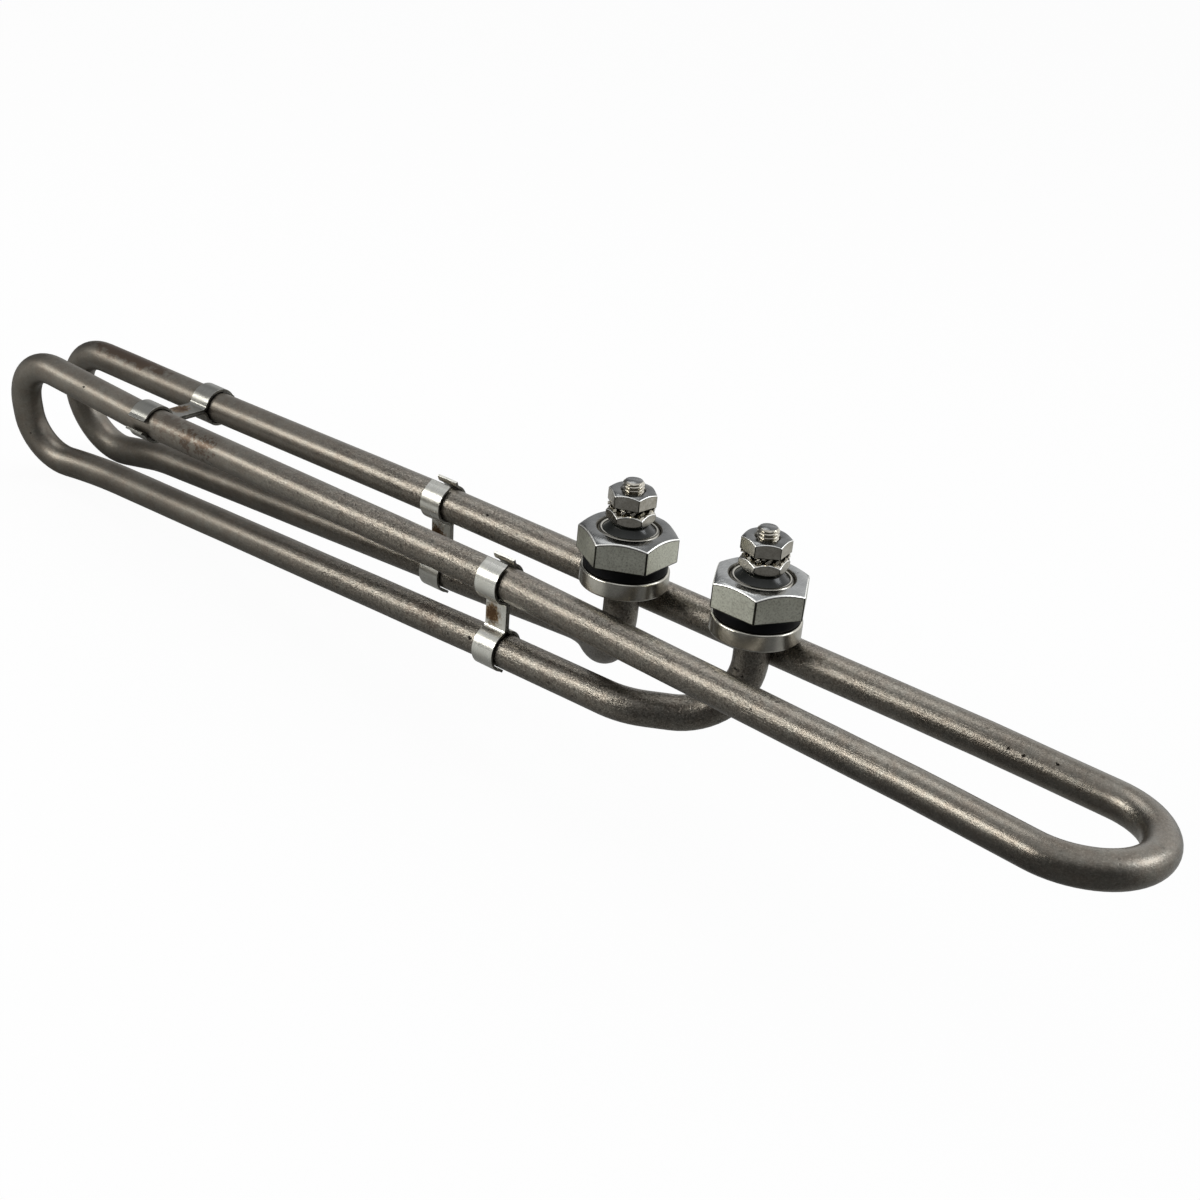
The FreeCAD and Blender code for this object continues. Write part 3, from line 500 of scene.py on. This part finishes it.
def pits_group():
    """Small dark specks in some cells of a cellular pattern, as many as Share says."""
    tree, given, result = new_group("pits", ("Vector",), ("Density", "Share", "Radius"), ("Mask",))
    cells = node(tree, "ShaderNodeTexVoronoi", {"Vector": given["Vector"], "Scale": given["Density"],
                                                "Randomness": 1.0})
    pick = node(tree, "ShaderNodeSeparateColor", {"Color": cells.outputs["Color"]}).outputs[0]
    chosen = math_node(tree, "LESS_THAN", pick, given["Share"])
    edge = math_node(tree, "DIVIDE", cells.outputs["Distance"], given["Radius"])
    speck = ranged(tree, edge, 0.6, 1.0, 1.0, 0.0)
    tree.links.new(math_node(tree, "MULTIPLY", chosen, speck), result["Mask"])
    return tree


def scratches_group():
    """Thin lines: where a noise that is stretched along one way crosses its middle value."""
    tree, given, result = new_group("scratches", ("Vector", "Stretch"), ("Width", "Patch"), ("Mask",))
    lines = noise(tree, vector_node(tree, "MULTIPLY", given["Vector"], given["Stretch"]), 1.0, 2.0)
    away = math_node(tree, "ABSOLUTE", math_node(tree, "SUBTRACT", lines, 0.5))
    thin = ranged(tree, math_node(tree, "DIVIDE", away, given["Width"]), 0.2, 1.0, 1.0, 0.0)
    where = ranged(tree, noise(tree, given["Vector"], given["Patch"], 2.0), 0.48, 0.6)
    tree.links.new(math_node(tree, "MULTIPLY", thin, where), result["Mask"])
    return tree


def mark_mask(tree, given, shift, solid):
    """Mask of a mark, from the distance from its centre in shares of its half sizes.

    It is whole up to the solid share and gone at one; the shift makes its rim ragged.
    """
    offset = vector_node(tree, "SUBTRACT", given["Vector"], given["Centre"])
    reach = length_of(tree, vector_node(tree, "DIVIDE", offset, given["Half_Size"]))
    return ranged(tree, math_node(tree, "ADD", reach, shift), solid, 1.0, 1.0, 0.0)


def stain_group():
    """One ragged stain: distance from its centre over its half sizes, broken up by noise."""
    tree, given, result = new_group("stain", ("Vector", "Centre", "Half_Size"), ("Ragged", "Grain"),
                                    ("Mask",))
    rough = noise(tree, given["Vector"], given["Grain"], 4.0, 0.65)
    shift = math_node(tree, "MULTIPLY", math_node(tree, "SUBTRACT", rough, 0.5),
                      math_node(tree, "MULTIPLY", given["Ragged"], 4.0))
    tree.links.new(mark_mask(tree, given, shift, 0.55), result["Mask"])
    return tree


def spot_group():
    """One small round mark; noise given from outside roughens its rim."""
    tree, given, result = new_group("spot", ("Vector", "Centre", "Half_Size"), ("Noise",), ("Mask",))
    shift = math_node(tree, "SUBTRACT", given["Noise"], 0.5)
    tree.links.new(mark_mask(tree, given, shift, 0.5), result["Mask"])
    return tree


FROSTING = frosting_group()
PITS = pits_group()
SCRATCHES = scratches_group()
STAIN = stain_group()
SPOT = spot_group()


def new_material(name, metallic, roughness, specular=0.5):
    """A material, its tree and its Principled shader; plain numbers go on the shader's own sockets."""
    material = bpy.data.materials.new(name)
    material.use_nodes = True
    tree = material.node_tree
    shader = tree.nodes["Principled BSDF"]
    shader.inputs["Metallic"].default_value = metallic
    shader.inputs["Roughness"].default_value = roughness
    shader.inputs["Specular IOR Level"].default_value = specular
    return material, tree, shader


def surface(tree, shader, colour, rough, height, depth):
    """Colour, roughness and a height field, its full range this many millimetres deep, into a shader."""
    bump = node(tree, "ShaderNodeBump", {"Height": height, "Distance": depth * MM, "Strength": 1.0})
    set_inputs(tree, shader, {"Base Color": colour, "Roughness": rough, "Normal": bump.outputs["Normal"]})


def object_coords(tree):
    """Object coordinates, which are the row's frame because every piece sits at the origin."""
    return node(tree, "ShaderNodeTexCoord").outputs["Object"]


def rgb(red, green, blue):
    """A colour with full alpha."""
    return (red, green, blue, 1.0)


# Materials

# Heat stains on the sheath: centre, half sizes, raggedness, grain per metre, strength
STAINS = (
    ((-0.1520, -0.0158, -0.0067), (0.0060, 0.0030, 0.0034), 1.4, 700.0, 0.4),
    ((-0.1445, -0.0164, -0.0078), (0.0022, 0.0020, 0.0036), 1.6, 900.0, 0.75),
    ((-0.1385, -0.0165, -0.0078), (0.0030, 0.0020, 0.0036), 1.6, 900.0, 0.75),
    ((-0.1960, 0.0062, -0.0055), (0.0170, 0.0036, 0.0034), 0.7, 260.0, 0.8),
    ((-0.0625, -0.0156, -0.0252), (0.0070, 0.0030, 0.0028), 0.9, 600.0, 0.3),
)

# Small dark pits and specks on the sheath: centre, half sizes
PIT_MARKS = (
    ((0.0768, 0.0055, -0.0076), (0.0004, 0.0005, 0.0004)),
    ((0.0803, 0.0055, -0.0078), (0.0004, 0.0005, 0.0004)),
    ((0.0872, 0.0066, -0.0071), (0.0008, 0.0004, 0.0003)),
    ((0.0158, -0.0024, -0.0121), (0.0010, 0.0006, 0.0004)),
    ((0.0177, -0.0024, -0.0131), (0.0004, 0.0005, 0.0004)),
    ((-0.0475, -0.0161, -0.0252), (0.0006, 0.0006, 0.0005)),
    ((-0.0642, 0.0061, -0.0067), (0.0008, 0.0005, 0.0004)),
    ((-0.1848, -0.0170, -0.0064), (0.0004, 0.0004, 0.0003)),
    ((-0.2125, -0.0136, -0.0290), (0.0003, 0.0004, 0.0003)),
)


def sheath_material():
    """Annealed nickel alloy: warm grey with brown clouds, a grainy satin skin, draw lines and pits."""
    material, tree, shader = new_material("annealed_sheath", metallic=1.0, roughness=0.33)
    place = object_coords(tree)
    run = node(tree, "ShaderNodeAttribute", attribute_name="run").outputs["Vector"]
    skin = placed(tree, FROSTING, Vector=run, Grain=1400.0, Cloud=95.0)
    fine = placed(tree, FROSTING, Vector=run, Grain=2600.0, Cloud=420.0)
    pits = placed(tree, PITS, Vector=run, Density=520.0, Share=0.4, Radius=0.22)
    holes = placed(tree, PITS, Vector=run, Density=130.0, Share=0.08, Radius=0.04)
    drawn = placed(tree, SCRATCHES, Vector=run, Stretch=(30.0, 1500.0, 1500.0), Width=0.05, Patch=70.0)
    along = part_of(tree, place, "X")
    coarse = math_node(tree, "MULTIPLY", ranged(tree, along, -0.135, -0.085, 0.25, 1.0),
                       ranged(tree, along, 0.03, 0.09, 1.0, 0.45))
    dark_grain = math_node(tree, "MULTIPLY", ranged(tree, skin["Grains"], 0.15, 0.6, 0.65, 0.0), coarse)
    pale_grain = math_node(tree, "MULTIPLY", ranged(tree, fine["Grains"], 0.5, 0.9, 0.0, 0.65), coarse)
    grey = mixed(tree, skin["Clouds"], rgb(0.166, 0.156, 0.135), rgb(0.242, 0.229, 0.199))
    colour = mixed(tree, ranged(tree, fine["Clouds"], 0.1, 0.9, 0.0, 0.6), grey, rgb(0.180, 0.148, 0.118))
    colour = mixed(tree, dark_grain, colour, rgb(0.06, 0.052, 0.043))
    colour = mixed(tree, pale_grain, colour, rgb(0.50, 0.46, 0.40))
    for centre, half_size, ragged, grain, strength in STAINS:
        mask = placed(tree, STAIN, Vector=place, Centre=centre, Half_Size=half_size,
                      Ragged=ragged, Grain=grain)["Mask"]
        colour = mixed(tree, math_node(tree, "MULTIPLY", mask, strength), colour, rgb(0.088, 0.058, 0.040))
    specks = math_node(tree, "MAXIMUM", math_node(tree, "MULTIPLY", pits["Mask"], 0.5), holes["Mask"])
    specks = math_node(tree, "MULTIPLY", specks, coarse)
    for centre, half_size in PIT_MARKS:
        mark = placed(tree, SPOT, Vector=place, Noise=fine["Grains"], Centre=centre,
                      Half_Size=half_size)["Mask"]
        specks = math_node(tree, "MAXIMUM", specks, mark)
    colour = mixed(tree, specks, colour, rgb(0.012, 0.010, 0.008))
    rough = math_node(tree, "ADD", ranged(tree, along, -0.15, -0.09, 0.40, 0.27),
                      ranged(tree, skin["Clouds"], 0.0, 1.0, 0.0, 0.06))
    rough = math_node(tree, "ADD", rough, ranged(tree, fine["Grains"], 0.0, 1.0, -0.05, 0.05))
    height = math_node(tree, "ADD", math_node(tree, "MULTIPLY", skin["Grains"], 0.6),
                       math_node(tree, "MULTIPLY", fine["Grains"], 0.4))
    height = math_node(tree, "SUBTRACT", height, math_node(tree, "MULTIPLY", drawn["Mask"], 0.25))
    height = math_node(tree, "SUBTRACT", math_node(tree, "MULTIPLY", height, coarse), specks)
    surface(tree, shader, colour, rough, height, 0.065)
    return material


def plated_nut_material():
    """Dull nickel plate on a forged nut's sides: pale, slightly green grey, with fine dark speckle."""
    material, tree, shader = new_material("dull_nickel", metallic=1.0, roughness=0.34)
    place = object_coords(tree)
    skin = placed(tree, FROSTING, Vector=place, Grain=2300.0, Cloud=230.0)
    colour = mixed(tree, skin["Clouds"], rgb(0.67, 0.675, 0.575), rgb(0.85, 0.86, 0.745))
    colour = mixed(tree, ranged(tree, skin["Grains"], 0.05, 0.6, 0.6, 0.0), colour, rgb(0.25, 0.235, 0.18))
    rough = ranged(tree, skin["Clouds"], 0.0, 1.0, 0.29, 0.4)
    surface(tree, shader, colour, rough, skin["Grains"], 0.012)
    return material


def edge_material():
    """Rounded edge of a nut, polished: a pale painted highlight where it faces upwards, and dark painted
    shade where it faces sideways.
    """
    material, tree, shader = new_material("nut_edge_painted_light", metallic=1.0, roughness=0.36)
    skin = placed(tree, FROSTING, Vector=object_coords(tree), Grain=2600.0, Cloud=330.0)
    normal = node(tree, "ShaderNodeNewGeometry").outputs["Normal"]
    upwards = part_of(tree, normal, "Z")
    # the dark colour is painted shade on the sideways edges; the near-white one is a painted highlight on
    # the upward edges
    dark = mixed(tree, skin["Clouds"], rgb(0.02, 0.018, 0.015), rgb(0.08, 0.076, 0.062))
    colour = mixed(tree, ranged(tree, upwards, 0.22, 0.34), dark, rgb(1.0, 1.0, 0.96))
    tree.links.new(colour, shader.inputs["Base Color"])
    tree.links.new(ranged(tree, skin["Grains"], 0.0, 1.0, 0.3, 0.42), shader.inputs["Roughness"])
    return material


def faced_nut_material(name, level):
    """A nut's faced top and chamfer: smoother and bluer than its sides, with faint streaks."""
    material, tree, shader = new_material(name, metallic=1.0, roughness=0.24)
    place = object_coords(tree)
    skin = placed(tree, FROSTING, Vector=place, Grain=2600.0, Cloud=330.0)
    streaks = noise(tree, vector_node(tree, "MULTIPLY", place, (1.0, 0.15, 1.0)), 1 / (0.25 * MM), 4.0, 0.55)
    pale, paler, dark = (rgb(*(level * part for part in parts))
                         for parts in ((0.36, 0.37, 0.37), (0.48, 0.49, 0.485), (0.23, 0.23, 0.225)))
    colour = mixed(tree, skin["Clouds"], pale, paler)
    colour = mixed(tree, ranged(tree, streaks, 0.3, 0.6, 0.35, 0.0), colour, dark)
    rough = ranged(tree, streaks, 0.3, 0.7, 0.16, 0.3)
    surface(tree, shader, colour, rough, streaks, 0.008)
    return material


def bright_nut_material():
    """Mirror-bright plate of the small nuts, washers and studs, with a warm cast and faint tool marks."""
    material, tree, shader = new_material("bright_plate", metallic=1.0, roughness=0.1)
    place = object_coords(tree)
    skin = placed(tree, FROSTING, Vector=place, Grain=2400.0, Cloud=500.0)
    colour = mixed(tree, skin["Clouds"], rgb(0.46, 0.43, 0.36), rgb(0.70, 0.67, 0.595))
    colour = mixed(tree, ranged(tree, skin["Grains"], 0.0, 0.6, 0.5, 0.0), colour, rgb(0.16, 0.135, 0.10))
    rough = ranged(tree, skin["Clouds"], 0.0, 1.0, 0.07, 0.17)
    surface(tree, shader, colour, rough, skin["Grains"], 0.004)
    return material


def turned_material(side):
    """Turned steel collar and shank: fine rings round the terminal's axis, and a dark ring of painted shade
    on the rim.
    """
    material, tree, shader = new_material(f"turned_steel_{side}", metallic=1.0, roughness=0.3)
    x, y = TERMINALS[side]
    groove_radius, rim_foot = 6.4 * MM, 7.0 * MM
    place = object_coords(tree)
    local = node(tree, "ShaderNodeMapping", {"Vector": place, "Location": (-x * MM, -y * MM, 0.0)})
    parts = node(tree, "ShaderNodeSeparateXYZ", {0: local.outputs[0]}).outputs
    flat = node(tree, "ShaderNodeCombineXYZ", {"X": parts["X"], "Y": parts["Y"]}).outputs[0]
    radius = length_of(tree, flat)
    lines = node(tree, "ShaderNodeCombineXYZ", {"X": radius, "Z": parts["Z"]}).outputs[0]
    rings = noise(tree, lines, 1 / (0.09 * MM), 4.0, 0.7)
    skin = placed(tree, FROSTING, Vector=place, Grain=3000.0, Cloud=240.0)
    colour = mixed(tree, skin["Clouds"], rgb(0.47, 0.455, 0.40), rgb(0.66, 0.64, 0.575))
    colour = mixed(tree, ranged(tree, rings, 0.3, 0.7, 0.3, 0.0), colour, rgb(0.24, 0.225, 0.19))
    colour = mixed(tree, ranged(tree, skin["Grains"], 0.0, 0.5, 0.3, 0.0), colour, rgb(0.2, 0.185, 0.155))
    # painted shade: a near-black ring on the rim, standing in for a shadowed cut
    off_groove = math_node(tree, "ABSOLUTE", math_node(tree, "SUBTRACT", radius, groove_radius))
    groove = math_node(tree, "MULTIPLY", ranged(tree, off_groove, 0.1 * MM, 0.18 * MM, 0.85, 0.0),
                       ranged(tree, parts["Z"], rim_foot, rim_foot + 0.5 * MM))
    colour = mixed(tree, groove, colour, rgb(0.03, 0.028, 0.024))
    rough = ranged(tree, rings, 0.3, 0.7, 0.17, 0.28)
    surface(tree, shader, colour, rough, rings, 0.005)
    return material


# Heat tint round the spot welds: raggedness, grain per metre, half sizes, strength, colour
WELD_TINT = (
    (0.5, 900.0, (0.0029, 0.0036, 0.0036), 0.9, rgb(0.27, 0.17, 0.075)),
    (0.7, 1500.0, (0.0021, 0.0029, 0.0029), 0.85, rgb(0.075, 0.036, 0.016)),
)
TINT_OFFSET = (-0.0011, 0.0, -0.0002)       # from the middle of a clip to the middle of its tint


def strip_material(name, clips, level, low_rough, high_rough):
    """Rolled stainless strip: rolling lines along the strip, and weld tint on the webs of some clips."""
    material, tree, shader = new_material(name, metallic=1.0, roughness=low_rough)
    place = object_coords(tree)
    lines = noise(tree, vector_node(tree, "MULTIPLY", place, (1.0, 0.03, 0.03)), 1 / (0.11 * MM), 3.0, 0.55)
    skin = placed(tree, FROSTING, Vector=place, Grain=1500.0, Cloud=300.0)
    dull, shiny = (rgb(*(level * part for part in parts))
                   for parts in ((0.65, 0.65, 0.60), (0.78, 0.775, 0.725)))
    colour = mixed(tree, ranged(tree, lines, 0.35, 0.65), dull, shiny)
    worn = rgb(0.6 * level, 0.58 * level, 0.5 * level)
    colour = mixed(tree, ranged(tree, skin["Clouds"], 0.3, 1.0, 0.0, 0.35), colour, worn)
    for clip in clips:
        names = [item for item in NODES if item.startswith(clip)]
        lows = np.array([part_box(item)[0] for item in names])
        highs = np.array([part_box(item)[1] for item in names])
        centre = (lows.min(0) + highs.max(0)) / 2 + np.array(TINT_OFFSET)
        for ragged, grain, half_size, strength, tint in WELD_TINT:
            mask = placed(tree, STAIN, Vector=place, Centre=tuple(centre), Half_Size=half_size,
                          Ragged=ragged, Grain=grain)["Mask"]
            colour = mixed(tree, math_node(tree, "MULTIPLY", mask, strength), colour, tint)
    rough = ranged(tree, skin["Clouds"], 0.0, 1.0, low_rough, high_rough)
    surface(tree, shader, colour, rough, lines, 0.004)
    return material


def dark_steel_material():
    """Sheared edge of the strip, and the threaded bore of a nut: dark and rough, the darkness partly painted
    shade of the edge and of the recessed bore.
    """
    material, tree, shader = new_material("sheared_strip", metallic=1.0, roughness=0.42)
    place = object_coords(tree)
    skin = placed(tree, FROSTING, Vector=place, Grain=3600.0, Cloud=700.0)
    colour = mixed(tree, skin["Clouds"], rgb(0.06, 0.058, 0.05), rgb(0.22, 0.21, 0.185))
    rough = ranged(tree, skin["Grains"], 0.0, 1.0, 0.34, 0.5)
    surface(tree, shader, colour, rough, skin["Grains"], 0.02)
    return material


def rubber_material():
    """Matt black rubber with a faint bloom."""
    material, tree, shader = new_material("black_rubber", metallic=0.0, roughness=0.5, specular=0.12)
    place = object_coords(tree)
    skin = placed(tree, FROSTING, Vector=place, Grain=3000.0, Cloud=350.0)
    colour = mixed(tree, skin["Clouds"], rgb(0.001, 0.001, 0.0013), rgb(0.0035, 0.004, 0.005))
    rough = ranged(tree, skin["Clouds"], 0.0, 1.0, 0.42, 0.6)
    surface(tree, shader, colour, rough, skin["Grains"], 0.01)
    return material


def seal_material():
    """Smooth dark grey seal with a soft gloss."""
    material, tree, shader = new_material("grey_seal", metallic=0.0, roughness=0.22, specular=0.35)
    place = object_coords(tree)
    skin = placed(tree, FROSTING, Vector=place, Grain=1800.0, Cloud=300.0)
    colour = mixed(tree, skin["Clouds"], rgb(0.009, 0.010, 0.009), rgb(0.017, 0.019, 0.017))
    rough = ranged(tree, skin["Clouds"], 0.0, 1.0, 0.13, 0.25)
    surface(tree, shader, colour, rough, skin["Clouds"], 0.015)
    return material


def hidden_material(name, colour, metallic, roughness, grain):
    """Finish of a piece sealed inside the sheath, which only a cut would show."""
    material, tree, shader = new_material(name, metallic=metallic, roughness=roughness)
    skin = placed(tree, FROSTING, Vector=object_coords(tree), Grain=grain, Cloud=300.0)
    dark = tuple(0.8 * part for part in colour[:3]) + (1.0,)
    surface(tree, shader, mixed(tree, skin["Clouds"], dark, colour), roughness, skin["Grains"], 0.02)
    return material


# Assembly

def dress(item, materials, slot=None):
    """Gives a piece its materials; a new piece that is given a slot also rides on the body, but the slot's
    name goes no further.

    Clearing puts every face back on the first material, so only a piece with a CAD finish is cleared.
    """
    if len(item.data.materials):
        item.data.materials.clear()
    for material in materials:
        item.data.materials.append(material)
    if slot:
        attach(item, "root")


def finish_faces(item, material, axis, least):
    """Another material for the faces whose normal lies along an axis by at least this much."""
    count = len(item.data.polygons)
    normals = np.empty(count * 3)
    item.data.polygons.foreach_get("normal", normals)
    along = normals.reshape(-1, 3) @ np.array(axis)
    item.data.materials.append(material)
    index = len(item.data.materials) - 1
    item.data.polygons.foreach_set("material_index", np.where(along >= least, index, 0).astype(np.int32))
    item.data.update()


def add_terminals(wire, dark_steel):
    """Finishes every piece on the two terminals."""
    # edge paints a highlight on the nuts' upward rounded edges and shade on their sideways ones
    nickel, bright, edge = plated_nut_material(), bright_nut_material(), edge_material()
    small_faced = faced_nut_material("faced_plate", 0.36)
    rubber, seal = rubber_material(), seal_material()
    chamfer, steep = math.radians(30), math.radians(40)
    # the left big nut's faced top is painted at about half the right one's brightness: painted shade
    for side, level in zip(SIDES, (0.42, 0.85)):
        dress(softened(f"{side}_threaded_bushing", width=0.2), [turned_material(side)], "machined_steel")
        nut = hexagon_nut(f"{side}_mounting_nut", land_share=0.96, sink=0.3, slope=chamfer, low_slope=0.0,
                          width=0.3)
        faced = faced_nut_material(f"faced_nickel_{side}", level)
        dress(nut, (nickel, edge, faced, dark_steel), "nickel_plate")
        nut = hexagon_nut(f"{side}_lower_terminal_nut", land_share=0.88, sink=0.4, slope=steep,
                          low_slope=steep, width=0.14)
        dress(nut, (bright, edge, bright, dark_steel), "plated_steel")
        nut = hexagon_nut(f"{side}_upper_terminal_nut", land_share=0.96, sink=0.4, slope=chamfer,
                          low_slope=0.0, width=0.16)
        dress(nut, (bright, edge, small_faced, dark_steel), "plated_steel")
        dress(softened(f"{side}_toothed_washer", width=0.05), [bright], "spring_steel")
        stud = threaded_stud(side)
        dress(stud, [bright], "plated_steel")
        finish_faces(stud, small_faced, (0, 0, 1), 0.95)
        dress(NODES[f"{side}_gasket"], [rubber])
        dress(moulded_seal(side), [seal], "seal")
        dress(NODES[f"{side}_cold_pin"], [wire])


def add_clips(dark_steel):
    """Finishes the six strips of the three clips, with dark sheared edges, partly painted shade, on their
    long sides that face +X.
    """
    bright = strip_material("rolled_strip", ("front_clip", "rear_clip"), 1.0, 0.24, 0.34)
    tinted = strip_material("tinted_strip", ("end_clip",), 0.48, 0.26, 0.36)
    for name in [name for name in NODES if name.endswith("_strip")]:
        item = softened(name, width=0.07)
        dress(item, [tinted if name.startswith("end_clip") else bright], "clip_strip")
        # the edges facing +X take the dark material: rough metal darkened further as painted shade
        finish_faces(item, dark_steel, (1, 0, 0), 0.9)


def build_element():
    """Every piece of the heating element with its finish."""
    tube = sheath_tube()
    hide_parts("sheath_tube")
    dress(tube, [sheath_material()], "sheath")
    fill = hidden_material("magnesia", rgb(0.85, 0.85, 0.82), 0.0, 0.9, 1500.0)
    dress(NODES["magnesia_fill"], [fill])
    wire = hidden_material("wire", rgb(0.42, 0.41, 0.39), 1.0, 0.45, 2500.0)
    dress(NODES["resistance_coil"], [wire])
    dark_steel = dark_steel_material()
    add_terminals(wire, dark_steel)
    add_clips(dark_steel)


# Stage, lights and camera

FLOOR_TILT = math.radians(3.1)
FLOOR_REACH = 4000.0                # millimetres from the origin to each side of the floor
FLOOR_SEEN = rgb(0.85, 0.85, 0.85)
FLOOR_PALE = rgb(0.47, 0.47, 0.45)
# colour of the floor's dark sectors, and of its painted shadow under the tubes
FLOOR_DARK = rgb(0.16, 0.16, 0.16)
DARK_WAY = (0.616, -0.788, 0.0)     # from the element to the dark sector of the floor
DARK_SIDE = (-0.956, 0.292, 0.0)    # to a narrow dark sector at the left
BACK_WAY = (0.25, 0.97, 0.0)        # to the pale wall behind the element

# Lamps: name, place, target, size, power, colour
LAMPS = (
    ("key", (-0.50, -0.64, 0.355), (-0.06, 0.0, -0.01), (0.62, 0.2), 3.8, (1.0, 0.985, 0.95)),
    ("top", (-0.22, 0.14, 0.42), (0.08, 0.0, -0.01), (0.25, 0.2), 0.4, (1.0, 1.0, 1.0)),
    ("right", (0.62, 0.42, 0.45), (0.06, 0.0, -0.01), (0.4, 0.3), 2.0, (0.93, 0.96, 1.0)),
)

# The camera's place and its axes
CAMERA_PLACE = (0.23044, -0.33430, 0.19162)
CAMERA_RIGHT = (0.76505733, 0.63745688, 0.09130173)
CAMERA_UP = (-0.34307278, 0.28348387, 0.89550989)
CAMERA_BACK = (0.54496638, -0.71643954, 0.43557552)


def background_share(tree, metal_share):
    """How far a ray shows the white background.

    The camera's own rays and those through glass show it wholly, those off metal by the given share.
    """
    path = node(tree, "ShaderNodeLightPath").outputs
    straight = math_node(tree, "MAXIMUM", path["Is Camera Ray"], path["Is Transmission Ray"])
    off_metal = math_node(tree, "MULTIPLY", path["Is Glossy Ray"], metal_share)
    return math_node(tree, "MAXIMUM", straight, off_metal)


def add_floor():
    """Pale floor under the two loops and the elbows, on which the element comes to rest.

    Metal sees it pale, but dark on the camera's side, where whoever takes the picture stands, and in the
    strip right under the tubes, which is a painted shadow.
    """
    x, y = np.array([(-1, -1), (1, -1), (1, 1), (-1, 1)]).T * FLOOR_REACH
    lean = np.array([math.sin(FLOOR_TILT), 0.0, math.cos(FLOOR_TILT)])
    lowest = (mesh_points("sheath_tube") @ lean).min() / MM
    floor = mesh_object("floor", np.stack([x, y, (lowest - lean[0] * x) / lean[2]], -1), [(0, 1, 2, 3)])
    material, tree, shader = new_material("pale_floor", metallic=0.0, roughness=0.8, specular=0.0)
    place = object_coords(tree)
    off_middle = math_node(tree, "ABSOLUTE", part_of(tree, place, "Y"))
    # painted shadow: the floor's colour darkens in a strip right under the tubes
    under = ranged(tree, off_middle, 0.03, 0.055, 0.65, 0.0)
    way = vector_node(tree, "NORMALIZE", place)
    front, side = (share_along(tree, way, sector) for sector in (DARK_WAY, DARK_SIDE))
    dark = math_node(tree, "MAXIMUM", ranged(tree, front, 0.42, 0.6), ranged(tree, side, 0.965, 0.985))
    dark = math_node(tree, "MAXIMUM", dark, under)
    white = background_share(tree, ranged(tree, dark, 0.0, 1.0, 0.1, 0.0))
    colour = mixed(tree, white, mixed(tree, dark, FLOOR_PALE, FLOOR_DARK), FLOOR_SEEN)
    tree.links.new(colour, shader.inputs["Base Color"])
    glow = node(tree, "ShaderNodeEmission", {"Color": rgb(1.0, 1.0, 1.0), "Strength": 1.0}).outputs[0]
    share = math_node(tree, "MULTIPLY", white, 0.95)
    mix = node(tree, "ShaderNodeMixShader", {0: share, 1: shader.outputs[0], 2: glow}).outputs[0]
    tree.links.new(mix, tree.nodes["Material Output"].inputs["Surface"])
    floor.data.materials.append(material)


def add_world():
    """Soft studio: white behind the element, a pale ceiling, and dim on the camera's side."""
    world = bpy.data.worlds.new("studio")
    bpy.context.scene.world = world
    world.use_nodes = True
    tree = world.node_tree
    way = node(tree, "ShaderNodeTexCoord").outputs["Generated"]
    back = ranged(tree, share_along(tree, way, BACK_WAY), 0.2, 0.9)
    ceiling = ranged(tree, part_of(tree, way, "Z"), 0.5, 0.97, 0.12, 0.9)
    level = math_node(tree, "MAXIMUM", back, ceiling)
    real = node(tree, "ShaderNodeBackground", {"Color": rgb(0.97, 0.98, 1.0), "Strength": level}).outputs[0]
    seen = node(tree, "ShaderNodeBackground", {"Color": rgb(1.0, 1.0, 1.0), "Strength": 1.0}).outputs[0]
    mix = node(tree, "ShaderNodeMixShader", {0: background_share(tree, back), 1: real, 2: seen}).outputs[0]
    tree.links.new(mix, tree.nodes["World Output"].inputs["Surface"])


def add_lamp(name, place, target, size, power, colour):
    """Soft rectangular lamp at a place, turned to a target, both in metres."""
    lamp = bpy.data.lights.new(name, "AREA")
    lamp.shape = "RECTANGLE"
    lamp.size, lamp.size_y = size
    lamp.energy = power
    lamp.color = colour
    item = bpy.data.objects.new(name, lamp)
    bpy.context.scene.collection.objects.link(item)
    item.location = place
    item.rotation_euler = (Vector(target) - Vector(place)).to_track_quat("-Z", "Y").to_euler()


def add_camera():
    """Camera that shows the element from the photograph's angle."""
    data = bpy.data.cameras.new("view")
    data.sensor_width = 36.0
    data.lens = 62.66
    data.clip_start = 0.01
    item = bpy.data.objects.new("view", data)
    bpy.context.scene.collection.objects.link(item)
    turn = Matrix((CAMERA_RIGHT, CAMERA_UP, CAMERA_BACK)).transposed().to_4x4()
    item.matrix_world = Matrix.Translation(CAMERA_PLACE) @ turn
    bpy.context.scene.camera = item


build_element()
add_floor()
add_world()
for lamp in LAMPS:
    add_lamp(*lamp)
add_camera()
bpy.context.scene.view_settings.view_transform = "Standard"
